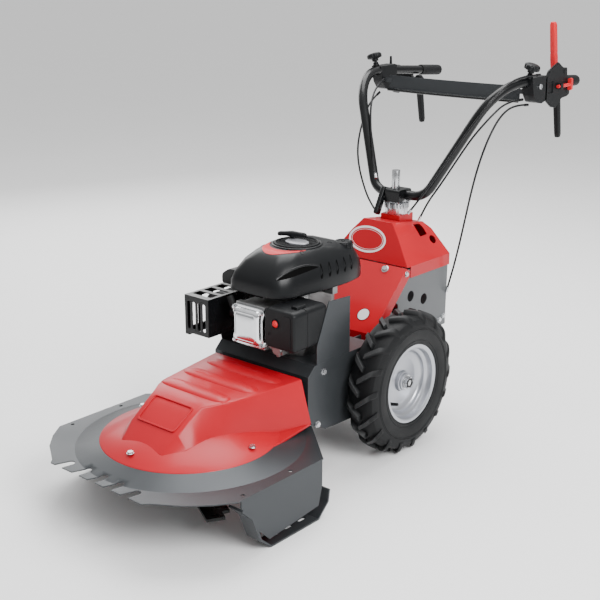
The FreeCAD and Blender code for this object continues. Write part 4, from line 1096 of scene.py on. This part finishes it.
cable("cable_far_loop", FAR_LOOP, ["cables_far"])
cable("cable_far_leg", FAR_LEG)
cable("cable_near_over", NEAR_OVER, ["cables_near"])
cable("cable_near_under", NEAR_UNDER)
cable("cable_near_long", NEAR_LONG)


# Stage, light and camera

FLOOR_REACH = 60
VIEW_AZIMUTH, VIEW_ELEVATION = 40.72, 17.27
FOCAL_LENGTH = 66.72
EYE = (1895, -2370, 1334)


def stage():
    floor_mesh = bpy.data.meshes.new("floor")
    size = FLOOR_REACH
    floor_mesh.from_pydata([(-size, -size, 0), (size, -size, 0), (size, size, 0), (-size, size, 0)],
                           [], [(0, 1, 2, 3)])
    floor = bpy.data.objects.new("floor", floor_mesh)
    bpy.context.scene.collection.objects.link(floor)
    floor_mesh.materials.append(shader("pale_floor", (0.90, 0.90, 0.90), 0.85, mottle=0.01,
                                       patch=2, grain=200, relief=0.02))
    world = bpy.data.worlds.new("studio")
    bpy.context.scene.world = world
    world.use_nodes = True
    nodes, links = world.node_tree.nodes, world.node_tree.links
    place = nodes.new("ShaderNodeTexCoord")
    split = nodes.new("ShaderNodeSeparateXYZ")
    rise = nodes.new("ShaderNodeMapRange")
    rise.inputs["To Min"].default_value = 0.30
    rise.inputs["To Max"].default_value = 1.25
    links.new(place.outputs["Generated"], split.inputs["Vector"])
    links.new(split.outputs["Z"], rise.inputs["Value"])
    links.new(rise.outputs["Result"], nodes["Background"].inputs["Strength"])
    nodes["Background"].inputs["Color"].default_value = (1, 1, 1, 1)
    for name, place, size, power in (("key", (3.0, -0.9, 2.6), 1.8, 180),
                                     ("fill", (-2.8, 1.2, 1.9), 2.0, 45),
                                     ("top", (-0.6, 0.9, 3.4), 2.4, 130)):
        data = bpy.data.lights.new(name, "AREA")
        data.size = size
        data.energy = power
        light = bpy.data.objects.new(name, data)
        bpy.context.scene.collection.objects.link(light)
        light.location = place
        aim = Vector((0, 0, 0.4)) - Vector(place)
        light.rotation_mode = "QUATERNION"
        light.rotation_quaternion = aim.to_track_quat("-Z", "Y")


def camera():
    """The photograph's view: its direction, its lens and where its eye stands."""
    azimuth, elevation = math.radians(VIEW_AZIMUTH), math.radians(VIEW_ELEVATION)
    back = Vector((math.sin(azimuth) * math.cos(elevation), -math.cos(azimuth) * math.cos(elevation),
                   math.sin(elevation)))
    data = bpy.data.cameras.new("view")
    data.lens = FOCAL_LENGTH
    data.sensor_width = 36
    eye = bpy.data.objects.new("view", data)
    bpy.context.scene.collection.objects.link(eye)
    eye.location = at(*EYE)
    eye.rotation_mode = "QUATERNION"
    eye.rotation_quaternion = (-back).to_track_quat("-Z", "Y")
    bpy.context.scene.camera = eye


stage()
camera()
